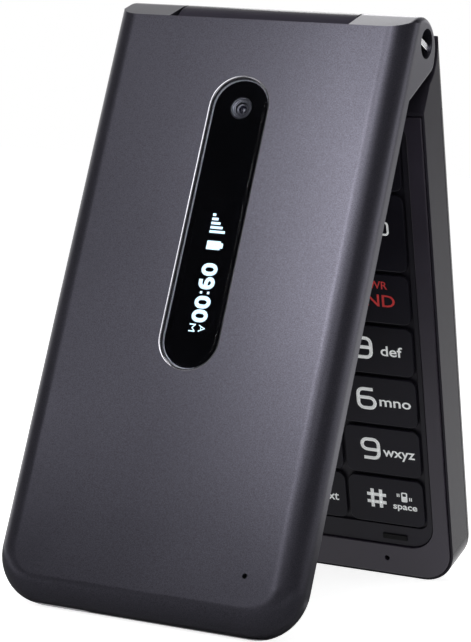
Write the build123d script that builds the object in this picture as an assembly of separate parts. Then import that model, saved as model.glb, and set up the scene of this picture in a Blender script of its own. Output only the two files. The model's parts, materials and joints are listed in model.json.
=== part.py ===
from build123d import *
import os
from math import acos, atan2, cos, degrees, hypot, radians, sin, sqrt

# Folding keypad phone, open a little and standing like a tent on the free ends of its two halves.
#
# Every sub-part is drawn in the closed phone, in millimetres: X runs across the phone, Y from the free
# ends towards the hinge, Z out through the lid, and the hinge axis is the X axis. The helpers take
# x, s and z, where s is the distance from the hinge axis towards the free ends, so y = -s.
# At the end each half is turned about the hinge axis and set down on the floor.

# ---------------------------------------------------------------- overall sizes
width = 56.6              # across both halves
axis_to_end = 103.6       # hinge axis to the free ends
lid_corner = 8.8          # free-end corners of the lid, seen square on
base_corner = 6.2         # free-end corners of the base
lid_inner = 2.0           # height of the lid's inner face above the hinge axis
closed_gap = 0.3          # between that face and the keypad frame, closed
base_back = -9.9          # height of the battery cover's back
open_now = 39.5           # angle between the halves as it stands
open_full = 155.0         # widest angle between the halves

# ---------------------------------------------------------------- hinge
knuckle_radius = 6.2      # knuckles of the lid and barrel of the base
knuckle_wide = 11.2       # each knuckle, across the phone
barrel_gap = 0.3          # between the barrel's ends and the knuckles
swing_gap = 0.4           # between the lid's knuckles and the base, all the way round
recess_gap = 0.35         # between the barrel and the lid above it
spine_wall = 1.55         # lid left above that gap
crease = 1.5              # how far the lid's outer face runs on past the hinge axis
ramp_bite = 0.886         # how far the line of each knuckle's ramp runs inside the round
ramp_slope = 41.0         # slope of that ramp
ramp_round = 3.0          # where the ramp runs into the knuckle
ramp_root = 4.0           # how far the knuckles run on into the lid
ramp_to_frame = 0.7       # from the ramp's foot to the frames of both halves
lid_edge_radius = 4.6     # outer edges of the lid
knuckle_edge_radius = 1.0 # outer ends of its knuckles
core_radius = 3.6         # cartridge, cam and bush
bore_fit = 0.05           # radial clearance of whatever turns or slides in a bore
seat_fit = 0.02           # radial clearance of whatever is pressed in for good
cartridge_wall = 0.7
cartridge_sunk = 0.1      # below the end of the barrel
cartridge_to_middle = 1.1
cartridge_lid = 1.2       # end with the hole for the shaft
cartridge_floor = 1.0     # the other end
shaft_radius = 1.4
shaft_collar = 2.5
collar_thick = 0.7
shaft_sunk = 0.3          # in the far end of the cam
shaft_end_gap = 0.4
cam_length = 6.3
bush_share = 0.52         # how much of the barrel's other half the bush takes up
bush_in_knuckle = 5.6
bush_wall = 1.0
bore_past = 0.5           # how far a bore runs on past the piece in it
spring_radius = 2.15
spring_wire = 0.28
spring_turns = 7
spring_seat = 0.3         # from the cartridge's end to the first coil
spring_less = 6.6         # shorter than the cartridge by
flex_thick = 0.15
flex_width = 4.6
flex_loose = 0.45         # inside the bush
flex_to_bush = 0.9
flex_short = 1.4          # of the far end of the bush
flex_tail = 7.0           # how far it runs into the base
flex_slot_gap = 0.4       # round it in the slot of the rear housing

# ---------------------------------------------------------------- strap pocket and end cap
strap_radius = 2.6
strap_depth = 4.0
strap_s = -2.0            # centre of the pocket, past the hinge axis
strap_z = -0.7
strap_bar_wide = 1.1
strap_bar_thick = 0.9
strap_bar_sunk = 0.5      # below the end face
strap_bar_seat = 0.6      # how far each end of the bar goes into the knuckle
cap_radius = 3.0
cap_thick = 1.3
cap_sunk = 0.1

# ---------------------------------------------------------------- lid
wall = 1.3                # walls of both housings
lip = 0.45                # thin outer lip round each inner frame
stack_gap = 0.05          # between pieces that lie on one another
room_start = 2.4          # from the frame's hinge end to the hollow behind it
frame_gap = 0.1           # between that lip and the frame
bezel_thick = 1.5
window_side = 4.2         # from the lid's side to its display window
window_near = 22.0
window_far = 10.2         # from the free end
window_thick = 0.8
window_sunk = 0.2
window_ledge = 1.8
window_round = 2.0
glass_gap = 0.1
panel_thick = 1.7
panel_inset = 0.9         # the display is smaller than its window all round
lid_board_thick = 0.8
lid_board_inset = 2.5     # from the window's side
lid_board_end = 1.4       # from the window's far end
lid_board_from_camera = 1.2
pill_wide = 10.6
pill_near = 9.2
pill_far = 61.2
pill_thick = 0.85
pill_sunk = 0.05
pill_ledge = 1.2
outer_display_near = 31.0
outer_display_far = 55.6
camera_from_block = 3.3   # from the lid's solid hinge end to the middle of the camera
camera_size = 6.8
camera_room = 0.5         # round the camera
camera_barrel = 2.6
camera_barrel_high = 0.5
lens_radius = 1.9
earpiece_wide = 12.0
earpiece_deep = 4.7
earpiece_edge = 3.6       # from the free end
earpiece_thick = 2.75
earpiece_round = 1.5
ear_slot_wide = 9.0
ear_slot_high = 1.3
lid_screw_side = 8.3      # from the lid's side
lid_screw_edge = 6.6      # from the free end
lid_boss_radius = 2.0
lid_screw_radius = 0.68
lid_screw_long = 2.6
lid_screw_down = 1.0      # from the inner face to the seat of the head
lid_screw_roof = 0.6      # left over the end of the screw hole
lid_head_radius = 1.5
lid_head_high = 0.4
screw_fit = 0.04          # round a screw in its thread
screw_clear = 0.12        # round a screw that passes through
lid_cap_radius = 2.05
cap_fit = 0.03            # round a rubber cap in its recess
lid_cap_proud = 0.15
pinhole_radius = 0.45
lid_pinhole_side = 9.4    # from the lid's side
lid_pinhole_edge = 9.5    # from the free end

# ---------------------------------------------------------------- keypad
frame_side = 3.6          # width of the keypad frame along the sides
frame_near_side = 1.8     # from the frame's hinge end to the keypad opening
frame_far = 6.6           # from the keypad opening to the free end
opening_round = 4.8
opening_round_near = 2.0
ledge = 0.5               # ledge of the frame under the keypad panel
frame_thick = 1.2
rib_deep = 0.55           # rib of the frame inside the base
rib_gap = 0.4             # from the hollow's hinge end to the rib
lip_down = 0.25           # these are depths below the face of the frame
key_down = 0.1
panel_down = 0.35
skirt_down = 0.55         # underside of the key caps
plate_down = 0.9
flange_down = 1.3
nav_plate_down = 1.5
plunger_down = 2.05
dome_down = 2.45
bumper_down = 0.05
field_side = 1.15         # raised margin of the keypad panel at the sides
field_near = 0.5
field_far = 4.2           # raised margin at the free end
key_edge_gap = 0.3        # keys to that margin
key_gap = 0.6             # key to key
soft_row = 11.6
tall_row = 14.9
key_round = 1.6
stem_wide = 5.0
stem_high = 3.0
stem_gap = 0.2
flange = 0.6
flange_thick = 0.25
plunger_radius = 1.1
nav_outer = 12.4
nav_inner = 6.9
nav_gap = 0.5
nav_skirt = 9.6
nav_skirt_wall = 1.0
nav_hole = 10.2           # in the keypad panel
nav_plate_radius = 10.6
nav_plate_wide = 8.4      # the ring tips sideways over this strip
nav_seat = 0.1            # from the strip to the ring
nav_plate_thick = 0.35
nav_plate_hole = 3.0
ok_radius = 6.4
ok_stem = 2.5
ok_proud = 0.1            # above the other keys
bumper_side = 9.0         # from the phone's side
bumper_wide = 4.8
bumper_near = 2.2         # from the last row of keys
bumper_long = 1.0

# ---------------------------------------------------------------- base
dome_thick = 0.2
dome_inset = 0.5
dome_past = 2.0           # the keys, at the free end
dome_round = 2.0
board_thick = 1.0
board_side = 4.3          # from the phone's side
board_edge = 2.2
board_gap = 0.3           # to the housing and the screw columns
parts_room = 1.15         # between the board and the floor over the battery
bay_floor_thick = 0.9
bay_wall = 0.9
upper_room = 28.0         # length of the room for jack, speaker and motor
bay_far = 6.4             # from the battery bay to the free end
battery_wide = 36.2
battery_gap = 0.3
battery_loose = 0.1       # over the battery
battery_to_cover = 0.2
cover_thick = 0.9
rim_below_jack = 0.2      # from the jack's collar to where the cover's rim meets the base
cover_from_block = 1.3
cover_gap = 0.15
cover_loose = 0.1         # inside the battery cover
back_edge_radius = 3.5
back_end_round = 2.5
back_end = 0.6            # how far the back runs on past the hinge axis
back_plate = 0.8
low_wall = 2.3            # wall down by the battery cover
low_wall_past = 0.9       # how far that wall runs on past the cover's rim
screw_head = 1.0
screw_head_high = 0.8
screw_shank = 0.5
screw_bite = 0.3          # past the underside of the frame
screw_seat_up = 3.3       # from the back
screw_column = 1.5
side_screw_inset = 2.4
side_screw_from_block = 18.9
side_screw_edge = 25.6    # from the free end
end_screw_side = 6.7
end_screw_edge = 5.2
jack_from_block = 10.9
jack_down = 2.0           # from the board to the middle of the bore
jack_bore = 1.75
jack_collar = 2.15
jack_body = 5.2
jack_deep = 14.1
jack_floor = 0.8
jack_below = 2.3          # from the middle of the bore to the underside of the body
jack_sunk = 0.2
port_wide = 8.4
port_high = 2.6
port_deep = 4.9
port_sunk = 0.3
port_wall = 0.35
tongue_side = 0.9         # round the tongue of the port
tongue_thick = 0.5
port_gap = 0.12           # round the port in the wall of the base
mic_side = 13.3           # from the phone's side
mic_edge = 3.7
mic_radius = 1.5
mic_gasket = 0.15
rocker_s = 42.0
rocker_long = 15.7
rocker_high = 2.9
rocker_down = 0.55        # from the underside of the board to the middle of the rocker
rocker_gap = 0.15
rocker_thick = 1.55
rocker_round = 0.7
rocker_pin = 0.35
rocker_pin_sunk = 0.65
rocker_pin_long = 0.5     # past each side of the rocker
rocker_room = 1.8         # depth of its pocket
speaker_to_jack = 4.2
speaker_from_block = 4.4
speaker_long = 10.0
speaker_thick = 2.6
speaker_round = 2.0
cone_radius = 3.6
cone_deep = 0.6
slot_wide = 8.0
slot_high = 0.9
slot_pitch = 1.9
slot_count = 4
motor_side = 9.8          # from the phone's side
motor_from_block = 9.9
motor_radius = 4.2
motor_thick = 2.5
tray_wide = 16.0
tray_long = 10.0
tray_from_bay = 1.6
tray_thick = 1.65
tray_gap = 0.1
tray_side = 1.0
tray_skin = 0.4
contact_wide = 10.0
contact_proud = 0.25
contact_gap = 0.1         # round the contact block
contact_sunk = 0.3        # above the back plate
contact_roof = 0.7        # below the floor over the battery
contact_step = 0.4
contact_pad = 1.4
contact_count = 3
shield_thick = 1.05
can_gap = 1.0             # round each shield can
can_from_bay = 2.0
can_split = 0.55          # how much of the length the large can takes
over = 1.0                # how far a cut runs past the face it goes through
tall = 20.0               # more than the phone is thick
same = 0.001              # how close an edge has to be to a place to count as lying there

# ---------------------------------------------------------------- what follows from them
half = width / 2
barrel_half = half - knuckle_wide - barrel_gap
knuckle_start = barrel_half + barrel_gap
lid_outer = knuckle_radius + recess_gap + spine_wall
ramp_off_axis = knuckle_radius - ramp_bite
ramp_start = (ramp_off_axis + lid_inner * cos(radians(ramp_slope))) / sin(radians(ramp_slope))
hinge_block = ramp_start + ramp_to_frame
cartridge_start = -barrel_half + cartridge_sunk
cartridge_end = -cartridge_to_middle
spring_length = cartridge_end - cartridge_start - spring_less
bush_start = (1 - bush_share) * barrel_half
bush_end = barrel_half + bush_in_knuckle
lid_ceiling = lid_outer - wall
window_under = lid_outer - pill_sunk - pill_thick
bezel_top = lid_inner + bezel_thick
display_top = bezel_top + stack_gap + panel_thick
lid_board_under = display_top + stack_gap
lid_board_top = lid_board_under + lid_board_thick
camera_s = hinge_block + camera_from_block
lid_pinhole_x = half - lid_pinhole_side
base_face = lid_inner - closed_gap
frame_under = base_face - frame_thick
ledge_under = frame_under - rib_deep
lip_top = base_face - lip_down
key_top = base_face - key_down
key_skirt = base_face - skirt_down
panel_top = base_face - panel_down
plate_top = base_face - plate_down
flange_top = base_face - flange_down
nav_plate_top = base_face - nav_plate_down
plunger_end = base_face - plunger_down
bumper_top = base_face - bumper_down
dome_top = base_face - dome_down
frame_near = hinge_block + frame_near_side
opening_half = half - frame_side
opening_far = axis_to_end - frame_far
field_half = opening_half - field_side
field_start = frame_near + field_near
field_end = opening_far - field_far
key_wide = (2 * field_half - 2 * key_edge_gap - 2 * key_gap) / 3
column_pitch = key_wide + key_gap
short_rows = 5
rows_start = field_start + key_edge_gap
rows_end = field_end - key_edge_gap
short_row = (rows_end - rows_start - soft_row - tall_row - (short_rows + 1) * key_gap) / short_rows
tall_start = rows_start + soft_row + key_gap
tall_end = tall_start + tall_row
nav_s = (rows_start + tall_end) / 2
board_top = dome_top - dome_thick
board_under = board_top - board_thick
board_half = half - board_side
bay_floor = board_under - parts_room
upper_room_end = hinge_block + upper_room
bay_start = upper_room_end + bay_wall
bay_end = axis_to_end - bay_far
bay_half = battery_wide / 2 + battery_gap
bay_depth = bay_floor - bay_floor_thick
cover_inside = base_back + cover_thick
plate_under = cover_inside + cover_loose
plate_inside = plate_under + back_plate
cover_start = hinge_block + cover_from_block
screw_seat = base_back + screw_seat_up
jack_s = hinge_block + jack_from_block
jack_z = board_under - jack_down
jack_end = jack_sunk + jack_deep + jack_floor
cover_rim = jack_z - jack_collar - rim_below_jack
low_room = cover_rim + low_wall_past
rocker_z = board_under - rocker_down
mic_x = half - mic_side
motor_x = half - motor_side
motor_s = hinge_block + motor_from_block
speaker_wide = 2 * (half - jack_end - speaker_to_jack)
speaker_near = hinge_block + speaker_from_block
speaker_far = speaker_near + speaker_long
tray_far = upper_room_end - tray_from_bay
tray_near = tray_far - tray_long
side_screws = (hinge_block + side_screw_from_block, axis_to_end - side_screw_edge)
screw_places = [(side * (half - side_screw_inset), s) for side in (-1, 1) for s in side_screws]
screw_places += [(side * (half - end_screw_side), axis_to_end - end_screw_edge) for side in (-1, 1)]
lid_screw_places = [(side * (half - lid_screw_side), axis_to_end - lid_screw_edge) for side in (-1, 1)]


# ---------------------------------------------------------------- helpers
def block(x0, x1, s0, s1, z0, z1):
    """A box given by its limits across, along and through the phone."""
    return Pos((x0 + x1) / 2, -(s0 + s1) / 2, (z0 + z1) / 2) * Box(x1 - x0, s1 - s0, z1 - z0)


def post(x, s, radius, z0, z1):
    """A round post standing through the phone."""
    return Pos(x, -s, (z0 + z1) / 2) * Cylinder(radius, z1 - z0)


def axle(radius, x0, x1, s=0.0, z=0.0):
    """A round bar lying across the phone."""
    return Pos((x0 + x1) / 2, -s, z) * Rot(0, 90, 0) * Cylinder(radius, x1 - x0)


def slab(sketch, z0, z1):
    """A flat outline given a thickness."""
    return Pos(0, 0, z0) * extrude(sketch, z1 - z0)


def bar(profile, x0, x1):
    """A side profile, drawn in Y and Z, stretched across the phone."""
    return Pos(x0, 0, 0) * extrude(Plane.YZ * profile, x1 - x0)


def both_sides(shape):
    """A shape and its mirror image on the other side of the phone."""
    return shape + mirror(shape, Plane.YZ)


def rounded(x0, x1, s0, s1, radius):
    """A flat rectangle with rounded corners."""
    return Pos((x0 + x1) / 2, -(s0 + s1) / 2) * RectangleRounded(x1 - x0, s1 - s0, radius)


def plan(corner, inset, s_start):
    """The outline of one half seen square on, rounded at the free end."""
    half_wide = half - inset
    s_end = axis_to_end - inset
    sheet = Pos(0, -(s_start + s_end) / 2) * Rectangle(2 * half_wide, s_end - s_start)
    return fillet(sheet.vertices().group_by(Axis.Y)[0], corner - inset)


def shell(corner, inset, s_start, z_round, z_flat, edge_radius):
    """A flat box with the outline of one half, the edges of one of its faces rounded."""
    lump = slab(plan(corner, inset, s_start), min(z_round, z_flat), max(z_round, z_flat))
    rim = [e for e in lump.edges() if abs(e.center().Z - z_round) < same and e.bounding_box().size.Z < same
           and e.center().Y < -s_start - over]
    return fillet(rim, edge_radius)


# ---------------------------------------------------------------- outer forms
def knuckle_profile():
    """Side view of a knuckle: flat top, slope to the spine, round end and ramp to the inner face."""
    reach = hypot(crease, lid_outer)
    touch = atan2(lid_outer, crease) - acos(knuckle_radius / reach)
    spine = (knuckle_radius * cos(touch), knuckle_radius * sin(touch))
    slope = radians(ramp_slope)
    chord = sqrt(knuckle_radius**2 - ramp_off_axis**2)
    foot_y = -ramp_off_axis * sin(slope) + chord * cos(slope)
    foot = (foot_y, -ramp_off_axis * cos(slope) - chord * sin(slope))
    rear = (knuckle_radius, 0)
    outline = Line((crease, lid_outer), spine) + ThreePointArc(spine, rear, foot)
    far = -ramp_start - ramp_root
    outline += Polyline(foot, (-ramp_start, lid_inner), (far, lid_inner), (far, lid_outer),
                        (crease, lid_outer))
    face = make_face(outline)
    heel = [v for v in face.vertices() if hypot(v.X - foot[0], v.Y - foot[1]) < same]
    return fillet(heel, ramp_round)


def lid_knuckle():
    """The right-hand knuckle with its outer end rounded."""
    knuckle = bar(knuckle_profile(), knuckle_start, half)
    root = -ramp_start - ramp_root
    rim = [e for e in knuckle.edges() if e.bounding_box().min.X > half - same
           and abs(e.center().Z - lid_inner) > same and e.center().Y > root + same]
    return fillet(rim, knuckle_edge_radius)


def lid_form():
    """The lid as one solid lump: flat, two knuckles, rounded edges, room for the barrel."""
    flat = shell(lid_corner, 0, -crease, lid_outer, lid_inner, lid_edge_radius)
    section = Pos(0, lid_outer - tall) * RectangleRounded(2 * half, 2 * tall, lid_edge_radius)
    sleeve = extrude(Plane.XZ * section, tall, both=True)
    lump = flat + both_sides(lid_knuckle() & sleeve)
    return lump - axle(knuckle_radius + recess_gap, -knuckle_start, knuckle_start)


def swing_profile():
    """Everything that a knuckle sweeps, with clearance: closed, fully open, and round in between."""
    solid = offset(knuckle_profile(), swing_gap)
    opened = Rot(0, 0, -open_full) * solid
    return solid + opened + Circle(knuckle_radius + swing_gap)


def base_form():
    """The base as one solid lump, with the barrel and with room for the knuckles."""
    lump = shell(base_corner, 0, -back_end, base_back, lip_top, back_edge_radius)
    long = 2 * axis_to_end
    tail = Pos(back_end - long / 2, base_back + tall) * Rectangle(long, 2 * tall)
    tail = fillet(tail.vertices().sort_by(Axis.X)[-2:].sort_by(Axis.Y)[:1], back_end_round)
    lump = lump & bar(tail, -half, half)
    lump = lump - both_sides(bar(swing_profile(), barrel_half, half + over))
    return lump + axle(knuckle_radius, -barrel_half, barrel_half)


# ---------------------------------------------------------------- lid pieces
def pill(inset):
    """The long round-ended window of the lid, seen square on."""
    long = pill_far - pill_near - 2 * inset
    return Pos(0, -(pill_near + pill_far) / 2) * Rot(0, 0, 90) * SlotOverall(long, pill_wide - 2 * inset)


def lid_cover():
    cover = lid_form()
    cover -= slab(plan(lid_corner, lip, hinge_block), -tall, bezel_top)
    cover -= shell(lid_corner, wall, hinge_block + room_start, lid_ceiling, bezel_top - over,
                   lid_edge_radius - wall)
    room = camera_size / 2 + camera_room
    cover -= block(-room, room, camera_s - room, hinge_block + room_start + over, bezel_top - over,
                   lid_ceiling)
    for x, s in lid_screw_places:
        cover += post(x, s, lid_boss_radius, bezel_top + stack_gap, lid_ceiling + over / 5)
        cover -= post(x, s, lid_screw_radius + screw_fit, bezel_top, lid_ceiling - lid_screw_roof)
    cover -= slab(pill(0), window_under - stack_gap, lid_outer + over)
    cover -= slab(pill(pill_ledge), lid_ceiling - over, lid_outer)
    pinhole_s = axis_to_end - lid_pinhole_edge
    cover -= post(lid_pinhole_x, pinhole_s, pinhole_radius, lid_ceiling - over, lid_outer + over)
    cover -= axle(core_radius + seat_fit, -knuckle_start - cam_length - bore_past, -knuckle_start)
    cover -= axle(core_radius + bore_fit, knuckle_start, bush_end + bore_past)
    cover -= axle(strap_radius, half - strap_depth, half + over, strap_s, strap_z)
    cover -= strap_bar_box(seat_fit)
    cover -= axle(cap_radius + seat_fit, -half - over, -half + cap_thick + cap_sunk)
    return cover


def strap_bar_box(grow):
    """The strap bar, standing across the pocket in the right-hand knuckle."""
    x1 = half - strap_bar_sunk
    reach = strap_radius + strap_bar_seat + grow
    wide = strap_bar_wide / 2 + grow
    return block(x1 - strap_bar_thick - grow, x1 + grow, strap_s - wide, strap_s + wide,
                 strap_z - reach, strap_z + reach)


def hinge_end_cap():
    return axle(cap_radius, -half + cap_sunk, -half + cap_thick)


def outer_window():
    return slab(pill(glass_gap), window_under, window_under + pill_thick)


def outer_display():
    edge = pill_wide / 2 - pill_ledge - glass_gap
    top = window_under - stack_gap
    return block(-edge, edge, outer_display_near, outer_display_far, lid_board_top, top)


def camera_module():
    size = camera_size / 2
    shoulder = lid_ceiling - camera_barrel_high
    body = block(-size, size, camera_s - size, camera_s + size, bezel_top + stack_gap, shoulder)
    return body + post(0, camera_s, camera_barrel, shoulder - stack_gap, lid_ceiling - glass_gap)


def camera_lens():
    return post(0, camera_s, lens_radius, lid_ceiling - glass_gap, window_under - stack_gap)


def lid_bezel():
    bezel = slab(plan(lid_corner, lip + frame_gap, hinge_block + frame_gap), lid_inner, bezel_top)
    seat = lid_inner + window_sunk + window_thick
    far = axis_to_end - window_far
    edge = half - window_side
    bezel -= slab(rounded(-edge, edge, window_near, far, window_round), lid_inner - over, seat)
    edge -= window_ledge
    opening = rounded(-edge, edge, window_near + window_ledge, far - window_ledge, window_round / 2)
    bezel -= slab(opening, lid_inner, bezel_top + over)
    ear_s = axis_to_end - earpiece_edge - earpiece_deep / 2
    slot = Pos(0, -ear_s) * SlotOverall(ear_slot_wide, ear_slot_high)
    bezel -= slab(slot, lid_inner - over, bezel_top + over)
    for x, s in lid_screw_places:
        bezel -= post(x, s, lid_cap_radius + cap_fit, lid_inner - over, lid_inner + lid_screw_down)
        bezel -= post(x, s, lid_screw_radius + screw_clear, lid_inner, bezel_top + over)
    return bezel


def main_display_window():
    edge = half - window_side - glass_gap
    far = axis_to_end - window_far - glass_gap
    z0 = lid_inner + window_sunk
    pane = rounded(-edge, edge, window_near + glass_gap, far, window_round - glass_gap)
    return slab(pane, z0, z0 + window_thick)


def main_display():
    edge = half - window_side - panel_inset
    far = axis_to_end - window_far - panel_inset
    return block(-edge, edge, window_near + panel_inset, far, bezel_top + stack_gap, display_top)


def lid_board():
    edge = half - window_side - lid_board_inset
    start = camera_s + camera_size / 2 + lid_board_from_camera
    far = axis_to_end - window_far - lid_board_end
    return block(-edge, edge, start, far, lid_board_under, lid_board_top)


def earpiece():
    far = axis_to_end - earpiece_edge
    edge = earpiece_wide / 2
    box = rounded(-edge, edge, far - earpiece_deep, far, earpiece_round)
    return slab(box, bezel_top + stack_gap, bezel_top + stack_gap + earpiece_thick)


def lid_screws():
    seat = lid_inner + lid_screw_down
    screws = [post(x, s, lid_head_radius, seat - lid_head_high, seat)
              + post(x, s, lid_screw_radius, seat, seat + lid_screw_long) for x, s in lid_screw_places]
    return Compound(screws)


def lid_bumpers():
    under = lid_inner + lid_screw_down - lid_head_high - stack_gap
    caps = [post(x, s, lid_cap_radius, lid_inner - lid_cap_proud, under) for x, s in lid_screw_places]
    return Compound(caps)


# ---------------------------------------------------------------- hinge pieces
def hinge_cartridge():
    tube = axle(core_radius, cartridge_start, cartridge_end)
    inside = cartridge_start + cartridge_lid
    tube -= axle(core_radius - cartridge_wall, inside, cartridge_end - cartridge_floor)
    return tube - axle(shaft_radius + bore_fit, cartridge_start - over, inside + over)


def hinge_shaft():
    start = -knuckle_start - cam_length + shaft_sunk
    end = cartridge_end - cartridge_floor - shaft_end_gap
    return axle(shaft_radius, start, end) + axle(shaft_collar, end - collar_thick, end)


def hinge_cam():
    start = -knuckle_start - barrel_gap / 2
    cam = axle(core_radius, start - cam_length, start)
    return cam - axle(shaft_radius + seat_fit, start - cam_length - over, start + over)


def hinge_spring():
    start = cartridge_start + cartridge_lid + spring_wire + spring_seat
    coil = Helix(spring_length / spring_turns, spring_length, spring_radius)
    wire = sweep(Plane(coil @ 0, z_dir=coil % 0) * Circle(spring_wire), coil, is_frenet=True)
    return Pos(start, 0, 0) * Rot(0, 90, 0) * wire


def hinge_bush():
    tube = axle(core_radius, bush_start, bush_end)
    return tube - axle(core_radius - bush_wall, bush_start - over, bush_end + over)


def hinge_flex():
    outer = core_radius - bush_wall - flex_loose
    start = bush_start - flex_width - flex_to_bush
    roll = axle(outer, start, bush_end - flex_short)
    roll -= axle(outer - flex_thick, start - over, bush_end)
    roll -= block(start - over, bush_end, -outer - over, flex_thick, 0, outer + over)
    tail = block(start, start + flex_width, 0, hinge_block + flex_tail, -outer, -outer + flex_thick)
    return roll + tail


# ---------------------------------------------------------------- base shells
def panel_outline(inset):
    """The keypad opening of the frame, seen square on."""
    edge = opening_half - inset
    sheet = rounded(-edge, edge, frame_near + inset, opening_far - inset, opening_round_near)
    far = Pos(0, -(opening_far - inset) + edge / 2) * RectangleRounded(2 * edge, edge, opening_round - inset)
    near = Pos(0, -(frame_near + opening_far) / 2 + edge / 4) * Rectangle(2 * edge, opening_far - frame_near)
    return sheet & (far + near)


def base_front():
    frame = slab(plan(base_corner, lip + frame_gap, hinge_block + frame_gap), frame_under, base_face)
    rib = plan(base_corner, wall + frame_gap, hinge_block + room_start + rib_gap)
    frame += slab(rib, ledge_under, frame_under)
    frame -= slab(panel_outline(0), frame_under, base_face + over)
    frame -= slab(panel_outline(ledge), ledge_under - over, base_face)
    for x, s in screw_places:
        frame -= post(x, s, screw_shank + seat_fit, ledge_under - over, frame_under + screw_bite + stack_gap)
    return frame - post(mic_x, axis_to_end - mic_edge, pinhole_radius, ledge_under - over, base_face + over)


def base_rear():
    rear = base_form()
    rear -= slab(plan(base_corner, lip, hinge_block), frame_under, lip_top + over)
    skirt = slab(plan(base_corner, -over, cover_start), base_back - over, cover_rim)
    inset = cover_thick + cover_loose
    low = shell(base_corner, inset, 0, plate_under, 0, back_edge_radius - inset)
    rear -= skirt - low
    room = slab(plan(base_corner, wall, hinge_block + room_start), low_room, frame_under + over)
    low_plan = plan(base_corner, low_wall, hinge_block + room_start + wall)
    room += slab(low_plan, plate_inside, low_room + over)
    bay_out = bay_half + bay_wall
    room -= block(-bay_out, bay_out, upper_room_end, bay_end + bay_wall, plate_under - over, bay_floor)
    rear -= room
    rear -= block(-bay_half, bay_half, bay_start, bay_end, plate_under - over, bay_depth)
    for x, s in screw_places:
        rear += post(x, s, screw_column, plate_inside - back_plate / 2, ledge_under - stack_gap) & low
        rear -= post(x, s, screw_head + screw_clear, base_back - over, screw_seat)
        rear -= post(x, s, screw_shank + bore_fit, screw_seat - over, frame_under)
    return rear - base_rear_cuts()


def base_rear_cuts():
    """Bores and openings of the rear housing."""
    cuts = axle(core_radius + seat_fit, -barrel_half - over, barrel_half + over)
    start = bush_start - flex_width - flex_to_bush - flex_slot_gap
    flex_z = -(core_radius - bush_wall - flex_loose)
    cuts += block(start, start + flex_width + 2 * flex_slot_gap, 0, hinge_block + room_start + over,
                  flex_z - flex_slot_gap, flex_z + flex_thick + flex_slot_gap)
    cuts += axle(jack_collar + seat_fit, -half - over, -half + low_wall + over, jack_s, jack_z)
    edge = port_wide / 2 + port_gap
    cuts += block(-edge, edge, axis_to_end - low_wall - over, axis_to_end + over,
                  board_under - port_high - port_gap, board_under + stack_gap)
    edge = rocker_long / 2 + rocker_gap
    high = rocker_high / 2 + rocker_gap
    cuts += block(-half - over, -half + rocker_room, rocker_s - edge, rocker_s + edge,
                  rocker_z - high, rocker_z + high)
    pin = rocker_high / 2 + rocker_pin_long + seat_fit
    cuts += post(-half + rocker_pin_sunk, rocker_s, rocker_pin + bore_fit, rocker_z - pin, rocker_z + pin)
    cuts += speaker_slots(base_back - over, plate_inside + over)
    edge = tray_wide / 2 + tray_gap
    cuts += block(-edge, edge, tray_near - tray_gap, tray_far + tray_gap, plate_under - over,
                  plate_inside + over)
    edge = contact_wide / 2 + contact_gap
    return cuts + block(-edge, edge, upper_room_end - over, bay_start + over,
                        plate_inside + contact_sunk - contact_gap, bay_depth - contact_roof + contact_gap)


def speaker_slots(z0, z1):
    """The row of sound slots over the loudspeaker."""
    middle = (speaker_near + speaker_far) / 2
    slots = Sketch()
    for i in range(slot_count):
        s = middle + (i - (slot_count - 1) / 2) * slot_pitch
        slots += Pos(0, -s) * SlotOverall(slot_wide, slot_high)
    return slab(slots, z0, z1)


def battery_cover():
    cover = shell(base_corner, 0, -back_end, base_back, 0, back_edge_radius)
    side = plan(base_corner, -over, cover_start + cover_gap)
    cover = cover & slab(side, base_back - over, cover_rim - stack_gap)
    cover -= shell(base_corner, cover_thick, 0, cover_inside, over, back_edge_radius - cover_thick)
    return cover - speaker_slots(base_back - over, 0)


def base_screws():
    screws = []
    for x, s in screw_places:
        head = post(x, s, screw_head, screw_seat - screw_head_high, screw_seat)
        screws.append(head + post(x, s, screw_shank, screw_seat, frame_under + screw_bite))
    return Compound(screws)


# ---------------------------------------------------------------- inside the base
def dome_sheet():
    edge = board_half - dome_inset
    sheet = rounded(-edge, edge, field_start + dome_inset, field_end + dome_past, dome_round)
    return slab(sheet, board_top, dome_top)


def main_board():
    strip = Pos(0, -axis_to_end / 2) * Rectangle(2 * board_half, 2 * axis_to_end)
    outline = plan(base_corner, board_edge, hinge_block + room_start + board_gap)
    board = slab(outline & strip, board_under, board_top)
    for x, s in screw_places:
        board -= post(x, s, screw_column + board_gap, board_under - over, board_top + over)
    return board


def shield_cans():
    under = board_under - shield_thick
    near = bay_start + can_from_bay
    far = bay_end - 2 * can_from_bay
    split = near + can_split * (far - near)
    edge = bay_half - can_gap
    cans = [block(-edge, edge, near, split - can_gap, under, board_under)]
    small = block(can_gap, edge, split + can_gap, far, under, board_under)
    cans += [small, mirror(small, Plane.YZ)]
    return Compound(cans)


def battery():
    edge = battery_wide / 2
    return block(-edge, edge, bay_start + battery_gap, bay_end - battery_gap,
                 cover_inside + battery_to_cover, bay_depth - battery_loose)


def battery_contacts():
    edge = contact_wide / 2
    z0 = plate_inside + contact_sunk
    z1 = bay_depth - contact_roof
    body = block(-edge, edge, tray_far + 2 * tray_gap, bay_start - stack_gap, z0, z1)
    for i in range(contact_count):
        x = (i - (contact_count - 1) / 2) * contact_wide / contact_count
        body += block(x - contact_pad / 2, x + contact_pad / 2, bay_start - contact_gap,
                      bay_start + contact_proud, z0 + contact_step, z1 - contact_step)
    return body


def card_slot():
    z0 = plate_under + stack_gap
    edge = tray_wide / 2
    body = block(-edge, edge, tray_near, tray_far, z0, z0 + tray_thick)
    mouth = edge - tray_side
    return body - block(-mouth, mouth, tray_near + tray_side, tray_far + over, z0 + tray_skin,
                        z0 + tray_thick - tray_skin)


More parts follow.
